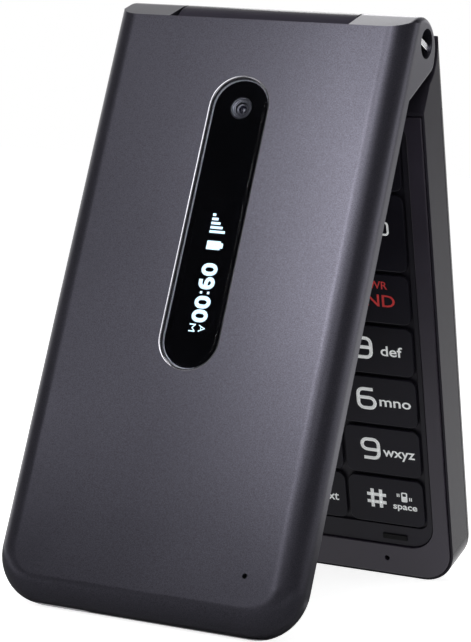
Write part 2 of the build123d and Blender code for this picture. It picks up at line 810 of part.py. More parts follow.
def charge_port():
    edge = port_wide / 2
    far = axis_to_end - port_sunk
    top = board_under
    shell = block(-edge, edge, far - port_deep, far, top - port_high, top)
    mouth = edge - port_wall
    shell -= block(-mouth, mouth, far - port_deep + port_wall, far + over, top - port_high + port_wall,
                   top - port_wall)
    edge = mouth - tongue_side
    middle = top - port_high / 2
    tongue = block(-edge, edge, far - port_deep, far - tongue_side, middle - tongue_thick / 2,
                   middle + tongue_thick / 2)
    return shell + tongue


def headset_jack():
    face = -half + jack_sunk
    body_start = -half + low_wall + stack_gap
    edge = jack_body / 2
    body = block(body_start, -half + jack_end, jack_s - edge, jack_s + edge,
                 jack_z - jack_below, board_under - seat_fit)
    collar = axle(jack_collar, face, body_start + over, jack_s, jack_z)
    return body + collar - axle(jack_bore, face - over, face + jack_deep, jack_s, jack_z)


def microphone():
    return post(mic_x, axis_to_end - mic_edge, mic_radius, board_top, ledge_under - mic_gasket)


def loudspeaker():
    edge = speaker_wide / 2
    outline = rounded(-edge, edge, speaker_near, speaker_far, speaker_round)
    body = slab(outline, plate_inside, plate_inside + speaker_thick)
    middle = (speaker_near + speaker_far) / 2
    return body - post(0, middle, cone_radius, plate_inside - over, plate_inside + cone_deep)


def vibration_motor():
    return post(motor_x, motor_s, motor_radius, plate_inside, plate_inside + motor_thick)


# ---------------------------------------------------------------- keypad
def column_x(column):
    """Middle of a key column: -1 left, 0 middle, 1 right."""
    return column * column_pitch


def row_limits(row):
    """Near and far edge of a short row, counted from 0 under the tall keys."""
    near = tall_end + key_gap + row * (short_row + key_gap)
    return near, near + short_row


def stem(x, s):
    """What every key has under its cap: a stem, a flange that holds it in and a plunger."""
    shape = block(x - stem_wide / 2, x + stem_wide / 2, s - stem_high / 2, s + stem_high / 2,
                  flange_top - flange_thick, key_skirt + seat_fit)
    wide = stem_wide / 2 + flange
    high = stem_high / 2 + flange
    shape += block(x - wide, x + wide, s - high, s + high, flange_top - flange_thick, flange_top)
    return shape + post(x, s, plunger_radius, plunger_end, flange_top)


def key(column, near, far):
    """An oblong key."""
    x = column_x(column)
    cap = rounded(x - key_wide / 2, x + key_wide / 2, near, far, key_round)
    return slab(cap, key_skirt, key_top) + stem(x, (near + far) / 2)


def corner_key(column, near, far):
    """A key beside the navigation ring, with a hollow side that follows the ring."""
    x = column_x(column)
    cap = rounded(x - key_wide / 2, x + key_wide / 2, near, far, key_round)
    cap -= Pos(0, -nav_s) * Circle(nav_outer + nav_gap)
    x_stem, s_stem = corner_stem(column, near, far)
    return slab(cap, key_skirt, key_top) + stem(x_stem, s_stem)


def corner_stem(column, near, far):
    """Where the stem of a key beside the ring stands."""
    return column * (field_half - key_edge_gap - stem_wide / 2 - flange), (near + far) / 2


def short_key(column, row):
    near, far = row_limits(row)
    return key(column, near, far)


digit_names = ("one", "two", "three", "four", "five", "six", "seven", "eight", "nine",
               "star", "zero", "hash")
call_names = ("send", "clear", "end")
corner_keys = {
    "soft_key_left": (-1, rows_start, rows_start + soft_row),
    "soft_key_right": (1, rows_start, rows_start + soft_row),
    "message_key": (-1, tall_start, tall_end),
    "camera_key": (1, tall_start, tall_end),
}


def keypad_keys():
    """Every key that is pressed straight in, by name."""
    keys = {name: corner_key(*place) for name, place in corner_keys.items()}
    for i, name in enumerate(call_names):
        keys[f"{name}_key"] = short_key(i - 1, 0)
    for i, name in enumerate(digit_names):
        keys[f"key_{name}"] = short_key(i % 3 - 1, i // 3 + 1)
    keys["ok_key"] = ok_key()
    return keys


def ok_key():
    cap = post(0, nav_s, ok_radius, key_skirt, key_top + ok_proud)
    cap += post(0, nav_s, ok_stem, flange_top, key_skirt + seat_fit)
    return cap + post(0, nav_s, plunger_radius, plunger_end, key_skirt)


def nav_ring():
    ring = post(0, nav_s, nav_outer, key_skirt, key_top + ok_proud / 2)
    ring += post(0, nav_s, nav_skirt, nav_plate_top + nav_seat, key_skirt + seat_fit)
    ring -= post(0, nav_s, nav_inner, key_skirt - over, key_top + over)
    return ring - post(0, nav_s, nav_skirt - nav_skirt_wall, nav_plate_top, key_skirt)


def nav_plate():
    under = nav_plate_top - nav_plate_thick
    plate = post(0, nav_s, nav_plate_radius, under, nav_plate_top)
    edge = nav_plate_wide / 2
    plate &= block(-edge, edge, nav_s - nav_plate_radius, nav_s + nav_plate_radius, under, nav_plate_top)
    return plate - post(0, nav_s, nav_plate_hole, nav_plate_top - over, nav_plate_top + over)


def keypad_panel():
    panel = slab(panel_outline(frame_gap), frame_under, panel_top)
    field = rounded(-field_half, field_half, field_start, field_end, key_round)
    panel -= slab(field, plate_top, panel_top + over)
    wide = stem_wide / 2 + stem_gap
    high = stem_high / 2 + stem_gap
    places = [corner_stem(*place) for place in corner_keys.values()]
    for row in range(short_rows):
        near, far = row_limits(row)
        places += [(column_x(column), (near + far) / 2) for column in (-1, 0, 1)]
    for x, s in places:
        panel -= block(x - wide, x + wide, s - high, s + high, frame_under - over, panel_top + over)
    return panel - post(0, nav_s, nav_hole, frame_under - over, panel_top + over)


def keypad_bumpers():
    near = rows_end + bumper_near
    outside = half - bumper_side
    pad = block(outside - bumper_wide, outside, near, near + bumper_long, panel_top, bumper_top)
    return Compound([pad, mirror(pad, Plane.YZ)])


def volume_rocker():
    long = rocker_long / 2
    high = rocker_high / 2
    body = block(-half, -half + rocker_thick, rocker_s - long, rocker_s + long, rocker_z - high,
                 rocker_z + high)
    body = fillet(body.edges().filter_by(Axis.Z), rocker_round)
    pin = high + rocker_pin_long
    return body + post(-half + rocker_pin_sunk, rocker_s, rocker_pin, rocker_z - pin, rocker_z + pin)


# ---------------------------------------------------------------- assembly
lid_pieces = {
    "lid_cover": lid_cover, "lid_bezel": lid_bezel, "outer_window": outer_window,
    "outer_display": outer_display, "camera_module": camera_module, "camera_lens": camera_lens,
    "main_display_window": main_display_window, "main_display": main_display, "lid_board": lid_board,
    "earpiece": earpiece, "lid_screws": lid_screws, "lid_bumpers": lid_bumpers,
    "strap_bar": lambda: strap_bar_box(0), "hinge_end_cap": hinge_end_cap, "hinge_cam": hinge_cam,
    "hinge_shaft": hinge_shaft,
}
base_pieces = {
    "base_front": base_front, "base_rear": base_rear, "battery_cover": battery_cover,
    "base_screws": base_screws, "dome_sheet": dome_sheet, "main_board": main_board,
    "shield_cans": shield_cans, "battery": battery, "battery_contacts": battery_contacts,
    "card_slot": card_slot, "charge_port": charge_port, "headset_jack": headset_jack,
    "microphone": microphone, "loudspeaker": loudspeaker, "vibration_motor": vibration_motor,
    "keypad_panel": keypad_panel, "keypad_bumpers": keypad_bumpers, "nav_ring": nav_ring,
    "nav_plate": nav_plate, "volume_rocker": volume_rocker, "hinge_cartridge": hinge_cartridge,
    "hinge_spring": hinge_spring, "hinge_bush": hinge_bush, "hinge_flex": hinge_flex,
}

# The two free ends touch the floor together: the base leans back by base_lean, the lid by the rest.
turn = radians(open_now)
base_lean = degrees(atan2(axis_to_end + lid_inner * sin(turn) - axis_to_end * cos(turn),
                          axis_to_end * sin(turn) + lid_inner * cos(turn) - lip_top))
lid_lean = open_now - base_lean
lid = {name: make() for name, make in lid_pieces.items()}
base = {name: make() for name, make in base_pieces.items()}
base.update(keypad_keys())
placed = {name: Rot(90 - lid_lean, 0, 0) * shape for name, shape in lid.items()}
placed.update({name: Rot(90 + base_lean, 0, 0) * shape for name, shape in base.items()})
limits = Compound([placed[name] for name in ("lid_cover", "base_rear", "battery_cover")]).bounding_box()
axis_y = -(limits.min.Y + limits.max.Y) / 2
axis_z = -limits.min.Z

os.makedirs("parts", exist_ok=True)
for name, shape in placed.items():
    export_step(Pos(0, axis_y, axis_z) * shape, f"parts/{name}.step")

inward = (0, cos(radians(base_lean)), sin(radians(base_lean)))
along = (0, sin(radians(base_lean)), -cos(radians(base_lean)))


def place(x, s, z):
    """A point of the base, given in the closed phone, where it stands now."""
    return (x, axis_y + s * along[1] - z * inward[1], axis_z + s * along[2] - z * inward[2])


print("nodes", len(placed), "hinge axis at", axis_y, axis_z, "leans", lid_lean, base_lean)
print("base: towards the back", inward, "towards the free end", along)
print("nav", place(0, nav_s, nav_plate_top), "rocker", place(-half + rocker_pin_sunk, rocker_s, rocker_z))
print("jack", place(-half + jack_sunk, jack_s, jack_z))
print("back", place(0, (cover_start + axis_to_end) / 2, base_back))
print("key", key_wide, short_row, "columns", column_pitch)
print("rows", rows_start, tall_start, tall_end, rows_end)
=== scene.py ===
import json
from math import pi, radians

import bmesh
import bpy
from mathutils import Matrix, Vector

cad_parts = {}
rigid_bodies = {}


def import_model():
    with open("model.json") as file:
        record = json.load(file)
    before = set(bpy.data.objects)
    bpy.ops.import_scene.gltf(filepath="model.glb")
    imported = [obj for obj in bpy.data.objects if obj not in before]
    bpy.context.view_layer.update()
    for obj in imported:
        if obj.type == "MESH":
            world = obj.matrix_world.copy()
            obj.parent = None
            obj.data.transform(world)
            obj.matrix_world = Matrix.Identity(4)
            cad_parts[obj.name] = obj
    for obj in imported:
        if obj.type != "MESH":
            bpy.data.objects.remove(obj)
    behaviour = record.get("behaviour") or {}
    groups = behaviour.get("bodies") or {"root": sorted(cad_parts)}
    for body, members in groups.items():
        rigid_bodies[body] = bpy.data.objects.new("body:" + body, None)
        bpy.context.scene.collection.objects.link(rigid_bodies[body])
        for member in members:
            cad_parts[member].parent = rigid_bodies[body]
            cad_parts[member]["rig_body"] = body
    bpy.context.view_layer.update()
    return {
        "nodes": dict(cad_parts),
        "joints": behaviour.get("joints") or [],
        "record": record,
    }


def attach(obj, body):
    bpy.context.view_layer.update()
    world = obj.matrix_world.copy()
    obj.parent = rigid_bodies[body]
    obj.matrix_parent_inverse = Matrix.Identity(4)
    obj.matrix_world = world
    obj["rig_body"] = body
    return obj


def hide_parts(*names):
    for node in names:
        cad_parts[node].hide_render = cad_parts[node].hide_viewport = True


# Folding keypad phone: finishes, printed legends, lit display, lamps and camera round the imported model.
#
# Marks and small pieces are drawn in the closed phone's own space, in millimetres: X across the phone,
# Y from the free ends towards the hinge, Z out of the keypad or out of the lid, hinge axis at zero.
# lid_space and base_space carry a drawing to where that half stands now.

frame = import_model()
nodes = frame["nodes"]
mm = 0.001

# ---------------------------------------------------------------- where the two halves stand
hinge = next(joint for joint in frame["joints"] if joint["name"] == "lid_hinge")
back_rest = next(mount for mount in frame["record"]["mounts"] if mount["name"] == "back_rest")
opened = radians(-hinge["range_deg"][0])


def half_space(turned):
    """Matrix from the drawing space to a half of the phone that is turned about the hinge."""
    across = Vector((1, 0, 0))
    out = Matrix.Rotation(turned, 3, "X") @ -Vector(back_rest["axis"])
    axes = Matrix((across, out.cross(across), out)).transposed()
    return Matrix.Translation(Vector(hinge["pos_m"])) @ axes.to_4x4() @ Matrix.Scale(mm, 4)


base_space = half_space(0)
lid_space = half_space(-opened)


def extent(node, space):
    """Lowest and highest corner of a CAD node, measured in a drawing space."""
    to_drawing = space.inverted()
    points = [to_drawing @ vertex.co for vertex in nodes[node].data.vertices]
    low = Vector([min(p[i] for p in points) for i in range(3)])
    high = Vector([max(p[i] for p in points) for i in range(3)])
    return low, high


# ---------------------------------------------------------------- material tools
pattern_low = 0.3         # nearly all of a noise pattern lies between these two
pattern_high = 0.7


def shader(name, color, roughness, metallic=0.0, gloss=0.5):
    """A new material with one Principled shader; returns the material and that shader."""
    material = bpy.data.materials.new(name)
    material.use_nodes = True
    skin = material.node_tree.nodes["Principled BSDF"]
    skin.inputs["Base Color"].default_value = (*color, 1)
    skin.inputs["Roughness"].default_value = roughness
    skin.inputs["Metallic"].default_value = metallic
    skin.inputs["Specular IOR Level"].default_value = gloss
    material.diffuse_color = (*color, 1)
    return material, skin


def new_node(tree, kind, values=()):
    """A new node, with plain values on some of its sockets."""
    node = tree.nodes.new(f"ShaderNode{kind}")
    for socket, value in dict(values).items():
        node.inputs[socket].default_value = value
    return node


def noise(material, size, detail):
    """Cloudy pattern with marks of about the given size in millimetres."""
    tree = material.node_tree
    place = new_node(tree, "TexCoord")
    cloud = new_node(tree, "TexNoise", {"Scale": 1 / (size * mm), "Detail": detail})
    tree.links.new(place.outputs["Object"], cloud.inputs["Vector"])
    return cloud.outputs["Fac"]


def vary(material, socket, pattern, low, high):
    """Drives a number of the shader between two values."""
    tree = material.node_tree
    span = new_node(tree, "MapRange", {
        "From Min": pattern_low, "From Max": pattern_high, "To Min": low, "To Max": high})
    tree.links.new(pattern, span.inputs["Value"])
    tree.links.new(span.outputs["Result"], socket)


def tint(material, socket, pattern, dark, light):
    """Drives a colour of the shader between two colours."""
    tree = material.node_tree
    ramp = new_node(tree, "ValToRGB")
    for stop, position, color in zip(ramp.color_ramp.elements, (pattern_low, pattern_high), (dark, light)):
        stop.position = position
        stop.color = (*color, 1)
    tree.links.new(pattern, ramp.inputs["Fac"])
    tree.links.new(ramp.outputs["Color"], socket)


def relief(material, skin, pattern, height, strength=0.5):
    """Bump of the given height in millimetres."""
    tree = material.node_tree
    bump = new_node(tree, "Bump", {"Distance": height * mm, "Strength": strength})
    tree.links.new(pattern, bump.inputs["Height"])
    tree.links.new(bump.outputs["Normal"], skin.inputs["Normal"])


def grained(name, dark, light, smooth, rough, grain, height, metallic=0.0, cloud=9.0, gloss=0.5):
    """Finish with a fine grain and a slow change of colour that the roughness follows.

    The colours and roughnesses are the two ends of the change; grain and cloud are the size of the fine
    and the slow pattern and height is that of the relief, in millimetres.
    """
    middle = tuple((a + b) / 2 for a, b in zip(dark, light))
    material, skin = shader(name, middle, (smooth + rough) / 2, metallic, gloss)
    fine = noise(material, grain, detail=2.0)
    slow = noise(material, cloud, detail=4.0)
    tint(material, skin.inputs["Base Color"], slow, dark, light)
    vary(material, skin.inputs["Roughness"], slow, smooth, rough)
    relief(material, skin, fine, height)
    return material


# ---------------------------------------------------------------- finishes
def satin_lid_paint():
    """Dark grey satin paint with a fine metallic flake."""
    material, skin = shader("satin_lid_paint", (0.061, 0.059, 0.076), 0.3, 0.75)
    flake = noise(material, 0.16, detail=3.0)
    slow = noise(material, 14.0, detail=3.0)
    tint(material, skin.inputs["Base Color"], flake, (0.042, 0.0405, 0.052), (0.08, 0.0775, 0.1))
    vary(material, skin.inputs["Roughness"], slow, 0.28, 0.33)
    relief(material, skin, flake, 0.006, 0.4)
    return material


def smoked_glass():
    """Clear black-tinted window: what lies behind it shows through a sharp reflection."""
    material = bpy.data.materials.new("smoked_glass")
    material.use_nodes = True
    tree = material.node_tree
    tree.nodes.remove(tree.nodes["Principled BSDF"])
    through = new_node(tree, "BsdfTransparent", {"Color": (0.86, 0.87, 0.9, 1)})
    gloss = new_node(tree, "BsdfGlossy", {"Color": (0.6, 0.6, 0.62, 1)})
    slant = new_node(tree, "Fresnel", {"IOR": 1.16})
    smear = noise(material, 6.0, detail=4.0)
    vary(material, gloss.inputs["Roughness"], smear, 0.045, 0.055)
    both = new_node(tree, "MixShader")
    tree.links.new(slant.outputs["Fac"], both.inputs["Fac"])
    tree.links.new(through.outputs["BSDF"], both.inputs[1])
    tree.links.new(gloss.outputs["BSDF"], both.inputs[2])
    tree.links.new(both.outputs["Shader"], tree.nodes["Material Output"].inputs["Surface"])
    return material


dimmest = 0.85            # the dimmest place of a lit mark, in parts of its brightest


def glow(name, color, strength):
    """Lit marks of the display, a little uneven as lit cells are."""
    material, skin = shader(name, color, 0.5)
    skin.inputs["Emission Color"].default_value = (*color, 1)
    cells = noise(material, 0.25, detail=1.0)
    vary(material, skin.inputs["Emission Strength"], cells, dimmest * strength, strength)
    return material


def key_ink(name, dark, light, strength):
    """Print on a key, with the key light shining through it a little."""
    material = grained(name, dark, light, 0.5, 0.6, 0.1, 0.003)
    skin = material.node_tree.nodes["Principled BSDF"]
    skin.inputs["Emission Color"].default_value = (*light, 1)
    spots = noise(material, 1.2, detail=2.0)
    vary(material, skin.inputs["Emission Strength"], spots, dimmest * strength, strength)
    return material


def screen_face():
    """Face of an unlit display: very dark, with the faint grid of its cells."""
    material, skin = shader("screen_face", (0.003, 0.003, 0.0035), 0.4, gloss=0.0)
    cells = noise(material, 0.3, detail=1.0)
    tint(material, skin.inputs["Base Color"], cells, (0.002, 0.002, 0.0025), (0.004, 0.004, 0.0045))
    return material


finish = {                # by the record's slots, and by names of their own for small details
    "lid_paint": satin_lid_paint(),
    "window_dark": smoked_glass(),
    "display": screen_face(),
    "lid_frame_plastic": grained(
        "lid_frame_plastic", (0.012, 0.012, 0.014), (0.018, 0.018, 0.021), 0.42, 0.5, 0.12, 0.008),
    "lens_glass": grained(
        "lens_glass", (0.008, 0.008, 0.014), (0.012, 0.01, 0.02), 0.05, 0.09, 0.6, 0.001),
    "board_parts": grained(
        "black_moulding", (0.016, 0.016, 0.017), (0.03, 0.03, 0.032), 0.4, 0.55, 0.2, 0.01),
    "circuit_board": grained(
        "circuit_board", (0.01, 0.07, 0.035), (0.02, 0.12, 0.06), 0.3, 0.45, 0.5, 0.02, cloud=2.0),
    "steel": grained(
        "steel", (0.42, 0.42, 0.44), (0.6, 0.6, 0.62), 0.25, 0.4, 0.15, 0.005, metallic=1.0),
    "bright_metal": grained(
        "bright_metal", (0.72, 0.72, 0.74), (0.86, 0.86, 0.88), 0.18, 0.3, 0.12, 0.003, metallic=1.0),
    "rubber": grained(
        "rubber", (0.006, 0.006, 0.007), (0.011, 0.011, 0.012), 0.6, 0.75, 0.1, 0.01, gloss=0.12),
    "frame_plastic": grained(
        "frame_plastic", (0.022, 0.017, 0.03), (0.028, 0.022, 0.038), 0.42, 0.46, 0.09, 0.006, gloss=0.5),
    "rear_plastic": grained(
        "rear_plastic", (0.027, 0.0245, 0.033), (0.03, 0.0275, 0.037), 0.22, 0.24, 0.16, 0.006, gloss=0.08),
    "keypad_plastic": grained(
        "keypad_plastic", (0.012, 0.011, 0.016), (0.016, 0.0145, 0.022), 0.42, 0.46, 0.08, 0.004,
        gloss=0.2),
    "key_gloss": grained(
        "key_gloss", (0.009, 0.0082, 0.0135), (0.012, 0.011, 0.018), 0.34, 0.38, 0.1, 0.003, gloss=0.15),
    "film": grained("amber_film", (0.35, 0.16, 0.04), (0.45, 0.22, 0.06), 0.25, 0.35, 0.8, 0.01),
    "dark_film": grained(
        "dark_film", (0.014, 0.014, 0.015), (0.02, 0.02, 0.021), 0.35, 0.45, 0.8, 0.004, gloss=0.2),
    "battery_case": grained(
        "battery_case", (0.03, 0.03, 0.034), (0.045, 0.045, 0.05), 0.35, 0.45, 0.3, 0.004),
    "ink_white": key_ink("ink_white", (0.74, 0.76, 0.76), (0.84, 0.86, 0.86), 0.34),
    "ink_red": key_ink("ink_red", (0.55, 0.03, 0.035), (0.66, 0.045, 0.045), 0.14),
    "ink_green": key_ink("ink_green", (0.04, 0.36, 0.1), (0.06, 0.44, 0.13), 0.1),
    "window_print": grained(
        "window_print", (0.002, 0.002, 0.0025), (0.004, 0.004, 0.0045), 0.5, 0.6, 0.3, 0.002, gloss=0.0),
    "gold": grained("gold", (0.75, 0.5, 0.2), (0.85, 0.6, 0.28), 0.2, 0.3, 0.2, 0.002, metallic=1.0),
    "label_paper": grained("label_paper", (0.62, 0.62, 0.6), (0.72, 0.72, 0.7), 0.5, 0.6, 0.3, 0.004),
    "label_ink": grained("label_ink", (0.02, 0.02, 0.022), (0.04, 0.04, 0.042), 0.5, 0.6, 0.3, 0.002),
    "ink_print": grained("ink_print", (0.6, 0.6, 0.6), (0.7, 0.7, 0.7), 0.5, 0.6, 0.3, 0.002),
    "polished_rim": grained(
        "polished_rim", (0.2, 0.2, 0.22), (0.26, 0.26, 0.28), 0.12, 0.18, 0.2, 0.002, metallic=0.9),
    # near-white seal: painted highlight along the edge of the outer window
    "painted_highlight_seal": grained("painted_highlight_seal", (0.8, 0.8, 0.82), (0.88, 0.88, 0.9), 0.25, 0.35, 0.2, 0.003),
    "lens_ring": grained(
        "lens_ring", (0.07, 0.07, 0.076), (0.11, 0.11, 0.118), 0.25, 0.35, 0.12, 0.01, metallic=0.9),
    "display_glow": glow("display_glow", (0.72, 0.95, 1.0), 1.15),
}


# ---------------------------------------------------------------- piece tools
weld = 0.002              # corners this near to one another, in millimetres, are one corner
sharp_corner = radians(40)    # edges that turn more than this are rounded or drawn sharp
flat_within = radians(0.3)    # triangles that turn less than this are one face
flat_weight = 60          # how much more a large face counts in the shading of its edges
rim_mark = "rounded_rim"  # says which faces belong to a rounded rim
rim_near = 0.02           # a rim lies this near to its face, up or down
pill_room = 0.15          # and no further out than this from the outer window


def mesh_of(shape, name):
    """The mesh of a finished bmesh, which is used up."""
    mesh = bpy.data.meshes.new(name)
    shape.to_mesh(mesh)
    shape.free()
    return mesh


def join_up(obj_name, mesh, space, body, finish_name):
    """A finished piece from a mesh drawn in a drawing space."""
    mesh.transform(space)
    mesh.materials.clear()
    mesh.materials.append(finish[finish_name])
    piece = bpy.data.objects.new(obj_name, mesh)
    bpy.context.scene.collection.objects.link(piece)
    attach(piece, body)
    return piece


def pill_box(height):
    """Lowest and highest corner of a box round the outer window, close to a height."""
    low, high = extent("outer_window", lid_space)
    room = Vector((pill_room, pill_room))
    return Vector((*(low.xy - room), height - rim_near)), Vector((*(high.xy + room), height + rim_near))


def soften(piece, width, segments=2):
    """Rounds the sharp edges of a piece, or draws them sharp, and keeps its flat faces flat."""
    piece.data.shade_smooth()
    if width:
        edges = piece.modifiers.new("edges", "BEVEL")
        edges.width = width * mm
        edges.segments = segments
        edges.limit_method = "ANGLE"
        edges.angle_limit = sharp_corner
        edges.use_clamp_overlap = False
        edges.harden_normals = True
    else:
        piece.data.set_sharp_from_angle(angle=sharp_corner)
    shade = piece.modifiers.new("shade", "WEIGHTED_NORMAL")
    shade.keep_sharp = True
    shade.weight = flat_weight


def round_rim(shape, width, space, low, high):
    """Rounds the edges of a shape that lie inside a box of a drawing space and marks the new faces."""
    mark = shape.faces.layers.int.new(rim_mark)
    to_drawing = space.inverted()

    def inside(vertex):
        place = to_drawing @ vertex.co
        return all(low[i] <= place[i] <= high[i] for i in range(3))

    rim = [edge for edge in shape.edges
           if all(inside(vertex) for vertex in edge.verts) and edge.calc_face_angle(0) > sharp_corner]
    rounded = bmesh.ops.bevel(shape, geom=rim, offset=width * mm, offset_type="OFFSET", affect="EDGES",
                              segments=4, profile=0.5, material=-1, clamp_overlap=True)
    for face in rounded["faces"]:
        face[mark] = 1


def finish_rim(piece, finish_name):
    """Gives the faces of a rounded rim a finish of their own, if it has one."""
    mesh = piece.data
    if finish_name:
        mesh.materials.append(finish[finish_name])
        for face, mark in zip(mesh.polygons, mesh.attributes[rim_mark].data):
            face.material_index = mark.value
    mesh.attributes.remove(mesh.attributes[rim_mark])


def merged_mesh(node):
    """A CAD node's mesh with its loose triangles joined up into whole faces."""
    shape = bmesh.new()
    shape.from_mesh(nodes[node].data)
    bmesh.ops.remove_doubles(shape, verts=shape.verts[:], dist=weld * mm)
    bmesh.ops.dissolve_limit(
        shape, angle_limit=flat_within, verts=shape.verts[:], edges=shape.edges[:], delimit=set())
    if node in rounded_rims:
        round_rim(shape, *rounded_rims[node])
    mesh = mesh_of(shape, f"{node}_skin")
    for layer in ("custom_normal", "sharp_edge", "sharp_face"):
        if layer in mesh.attributes:
            mesh.attributes.remove(mesh.attributes[layer])
    return mesh


rounded_rims = {          # width of the rounding, and where its edges lie
    "lid_cover": (0.4, lid_space, *pill_box(extent("lid_cover", lid_space)[1].z)),
    "outer_window": (0.55, lid_space, *pill_box(extent("outer_window", lid_space)[1].z)),
}
rim_finish = {"lid_cover": "polished_rim"}
record_slots = {part["node"]: part["material_slot"] for part in frame["record"]["subparts"]}


def body_of(node):
    """The body that a CAD node rides on."""
    return nodes[node]["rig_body"]


def skin_over(node, width, segments=2):
    """A CAD node's shape with softened edges, standing for the node."""
    slot = record_slots[node]
    piece = join_up(f"{node}_skin", merged_mesh(node), Matrix.Identity(4), body_of(node), slot)
    soften(piece, width, segments)
    if node in rounded_rims:
        finish_rim(piece, rim_finish.get(node))
    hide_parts(node)


# ---------------------------------------------------------------- pen and type
ink_thick = 0.03          # printed and lit marks stand this proud, in millimetres
pen_bend = 0.55           # how far a Bezier handle reaches into a rounded corner


def rounded_run(spline, points, radius, closed):
    """Fills a Bezier spline with straight runs that meet in rounded corners."""
    count = len(points)
    knots = []
    for i, point in enumerate(points):
        here = Vector((*point, 0))
        if not closed and i in (0, count - 1):
            knots.append((here, here, here))
            continue
        for other, incoming in ((points[i - 1], True), (points[(i + 1) % count], False)):
            reach = Vector((*other, 0)) - here
            foot = here + reach.normalized() * min(radius, reach.length / 2)
            handle = foot.lerp(here, pen_bend)
            knots.append((foot, foot, handle) if incoming else (handle, foot, foot))
    spline.bezier_points.add(len(knots) - 1)
    for knot, (left, middle, right) in zip(spline.bezier_points, knots):
        knot.handle_left_type = "FREE"
        knot.handle_right_type = "FREE"
        knot.co = middle
        knot.handle_left = left
        knot.handle_right = right
    spline.use_cyclic_u = closed


def curve_mesh(curve):
    """The mesh of a curve or text, made once and without the curve."""
    carrier = bpy.data.objects.new("carrier", curve)
    bpy.context.scene.collection.objects.link(carrier)
    bpy.context.view_layer.update()
    seen = carrier.evaluated_get(bpy.context.evaluated_depsgraph_get())
    mesh = bpy.data.meshes.new_from_object(seen)
    bpy.data.objects.remove(carrier)
    bpy.data.curves.remove(curve)
    return mesh


def pen_strokes(runs, pen, radius):
    """Flat strokes of a round pen along runs of points; a run that ends where it starts is closed."""
    curve = bpy.data.curves.new("strokes", "CURVE")
    curve.dimensions = "3D"
    curve.bevel_depth = pen / 2
    curve.bevel_resolution = 1
    curve.resolution_u = 4
    curve.use_fill_caps = True
    for run in runs:
        closed = run[0] == run[-1]
        rounded_run(curve.splines.new("BEZIER"), run[:-1] if closed else run, radius, closed)
    mesh = curve_mesh(curve)
    mesh.transform(Matrix.Diagonal((1, 1, ink_thick / pen, 1)))
    return mesh


def flat_shape(outline, holes=(), thick=ink_thick):
    """A flat sheet with holes; every outline is a run of points with the radius of its corners."""
    curve = bpy.data.curves.new("sheet", "CURVE")
    curve.dimensions = "2D"
    curve.fill_mode = "BOTH"
    curve.extrude = thick / 2
    curve.resolution_u = 8
    for run, radius in (outline, *holes):
        rounded_run(curve.splines.new("BEZIER"), run, radius, True)
    return curve_mesh(curve)


capital_share = 0.73      # capital height of the type in parts of its size


def lettering(text, high, wide, bold=0.0):
    """Letters of a capital height, fitted to a width, standing on the origin and middled across it."""
    curve = bpy.data.curves.new("letters", "FONT")
    curve.body = text
    curve.size = high / capital_share
    curve.extrude = ink_thick / 2
    curve.offset = bold
    curve.resolution_u = 3
    mesh = curve_mesh(curve)
    left = min(vertex.co.x for vertex in mesh.vertices)
    right = max(vertex.co.x for vertex in mesh.vertices)
    squeeze = wide / (right - left)
    to_middle = Matrix.Translation((-(left + right) / 2, 0, 0))
    mesh.transform(Matrix.Diagonal((squeeze, 1, 1, 1)) @ to_middle)
    return mesh


def rectangle(wide, high, x=0.0, y=0.0):
    """Corner points of a rectangle round a place."""
    return [(x - wide / 2, y - high / 2), (x + wide / 2, y - high / 2),
            (x + wide / 2, y + high / 2), (x - wide / 2, y + high / 2)]


def ring_of(run):
    """A run of points that ends where it starts."""
    return [*run, run[0]]


def rounded_box(name, size, middle, rounding):
    """A box of a size round a place, with rounded edges."""
    shape = bmesh.new()
    bmesh.ops.create_cube(shape, size=1)
    place = Matrix.Translation(middle) @ Matrix.Diagonal((*size, 1))
    bmesh.ops.transform(shape, matrix=place, verts=shape.verts[:])
    bmesh.ops.bevel(shape, geom=shape.edges[:], offset=rounding, offset_type="OFFSET", affect="EDGES",
                    segments=2, profile=0.5, material=-1)
    return mesh_of(shape, name)


def shifted(mesh, x, y, z=0.0, turned=0.0):
    """Turns a mark in its plane and carries it to its place."""
    mesh.transform(Matrix.Translation((x, y, z)) @ Matrix.Rotation(turned, 4, "Z"))
    return mesh


def one_mesh(name, meshes):
    """Several meshes as one."""
    shape = bmesh.new()
    for mesh in meshes:
        shape.from_mesh(mesh)
        bpy.data.meshes.remove(mesh)
    bmesh.ops.recalc_face_normals(shape, faces=shape.faces[:])
    return mesh_of(shape, name)


# ---------------------------------------------------------------- digits
# Their runs are drawn in a box one wide and one high.
box_run = [(0, 0), (1, 0), (1, 1), (0, 1), (0, 0)]
digit_runs = {
    "0": [box_run],
    "1": [[(0.25, 0.8), (0.6, 1), (0.6, 0)]],
    "2": [[(0, 1), (1, 1), (1, 0.52), (0, 0.52), (0, 0), (1, 0)]],
    "3": [[(0, 1), (1, 1), (1, 0), (0, 0)], [(0.2, 0.52), (1, 0.52)]],
    "4": [[(0.1, 1), (0, 0.3), (1, 0.3)], [(0.78, 0.6), (0.78, 0)]],
    "5": [[(0.95, 1), (0.05, 1), (0.05, 0.56), (1, 0.56), (1, 0), (0, 0)]],
    "6": [[(0.92, 1), (0, 1), (0, 0), (1, 0), (1, 0.55), (0, 0.55)]],
    "7": [[(0, 1), (1, 1), (0.4, 0)]],
    "8": [box_run, [(0, 0.52), (1, 0.52)]],
    "9": [[(0.08, 0), (1, 0), (1, 1), (0, 1), (0, 0.45), (1, 0.45)]],
    "*": [[(0.5, 0.25), (0.5, 1)], [(0.1, 0.4), (0.9, 0.85)], [(0.1, 0.85), (0.9, 0.4)]],
    "#": [[(0.28, 0), (0.28, 1)], [(0.72, 0), (0.72, 1)], [(0, 0.3), (1, 0.3)], [(0, 0.7), (1, 0.7)]],
}


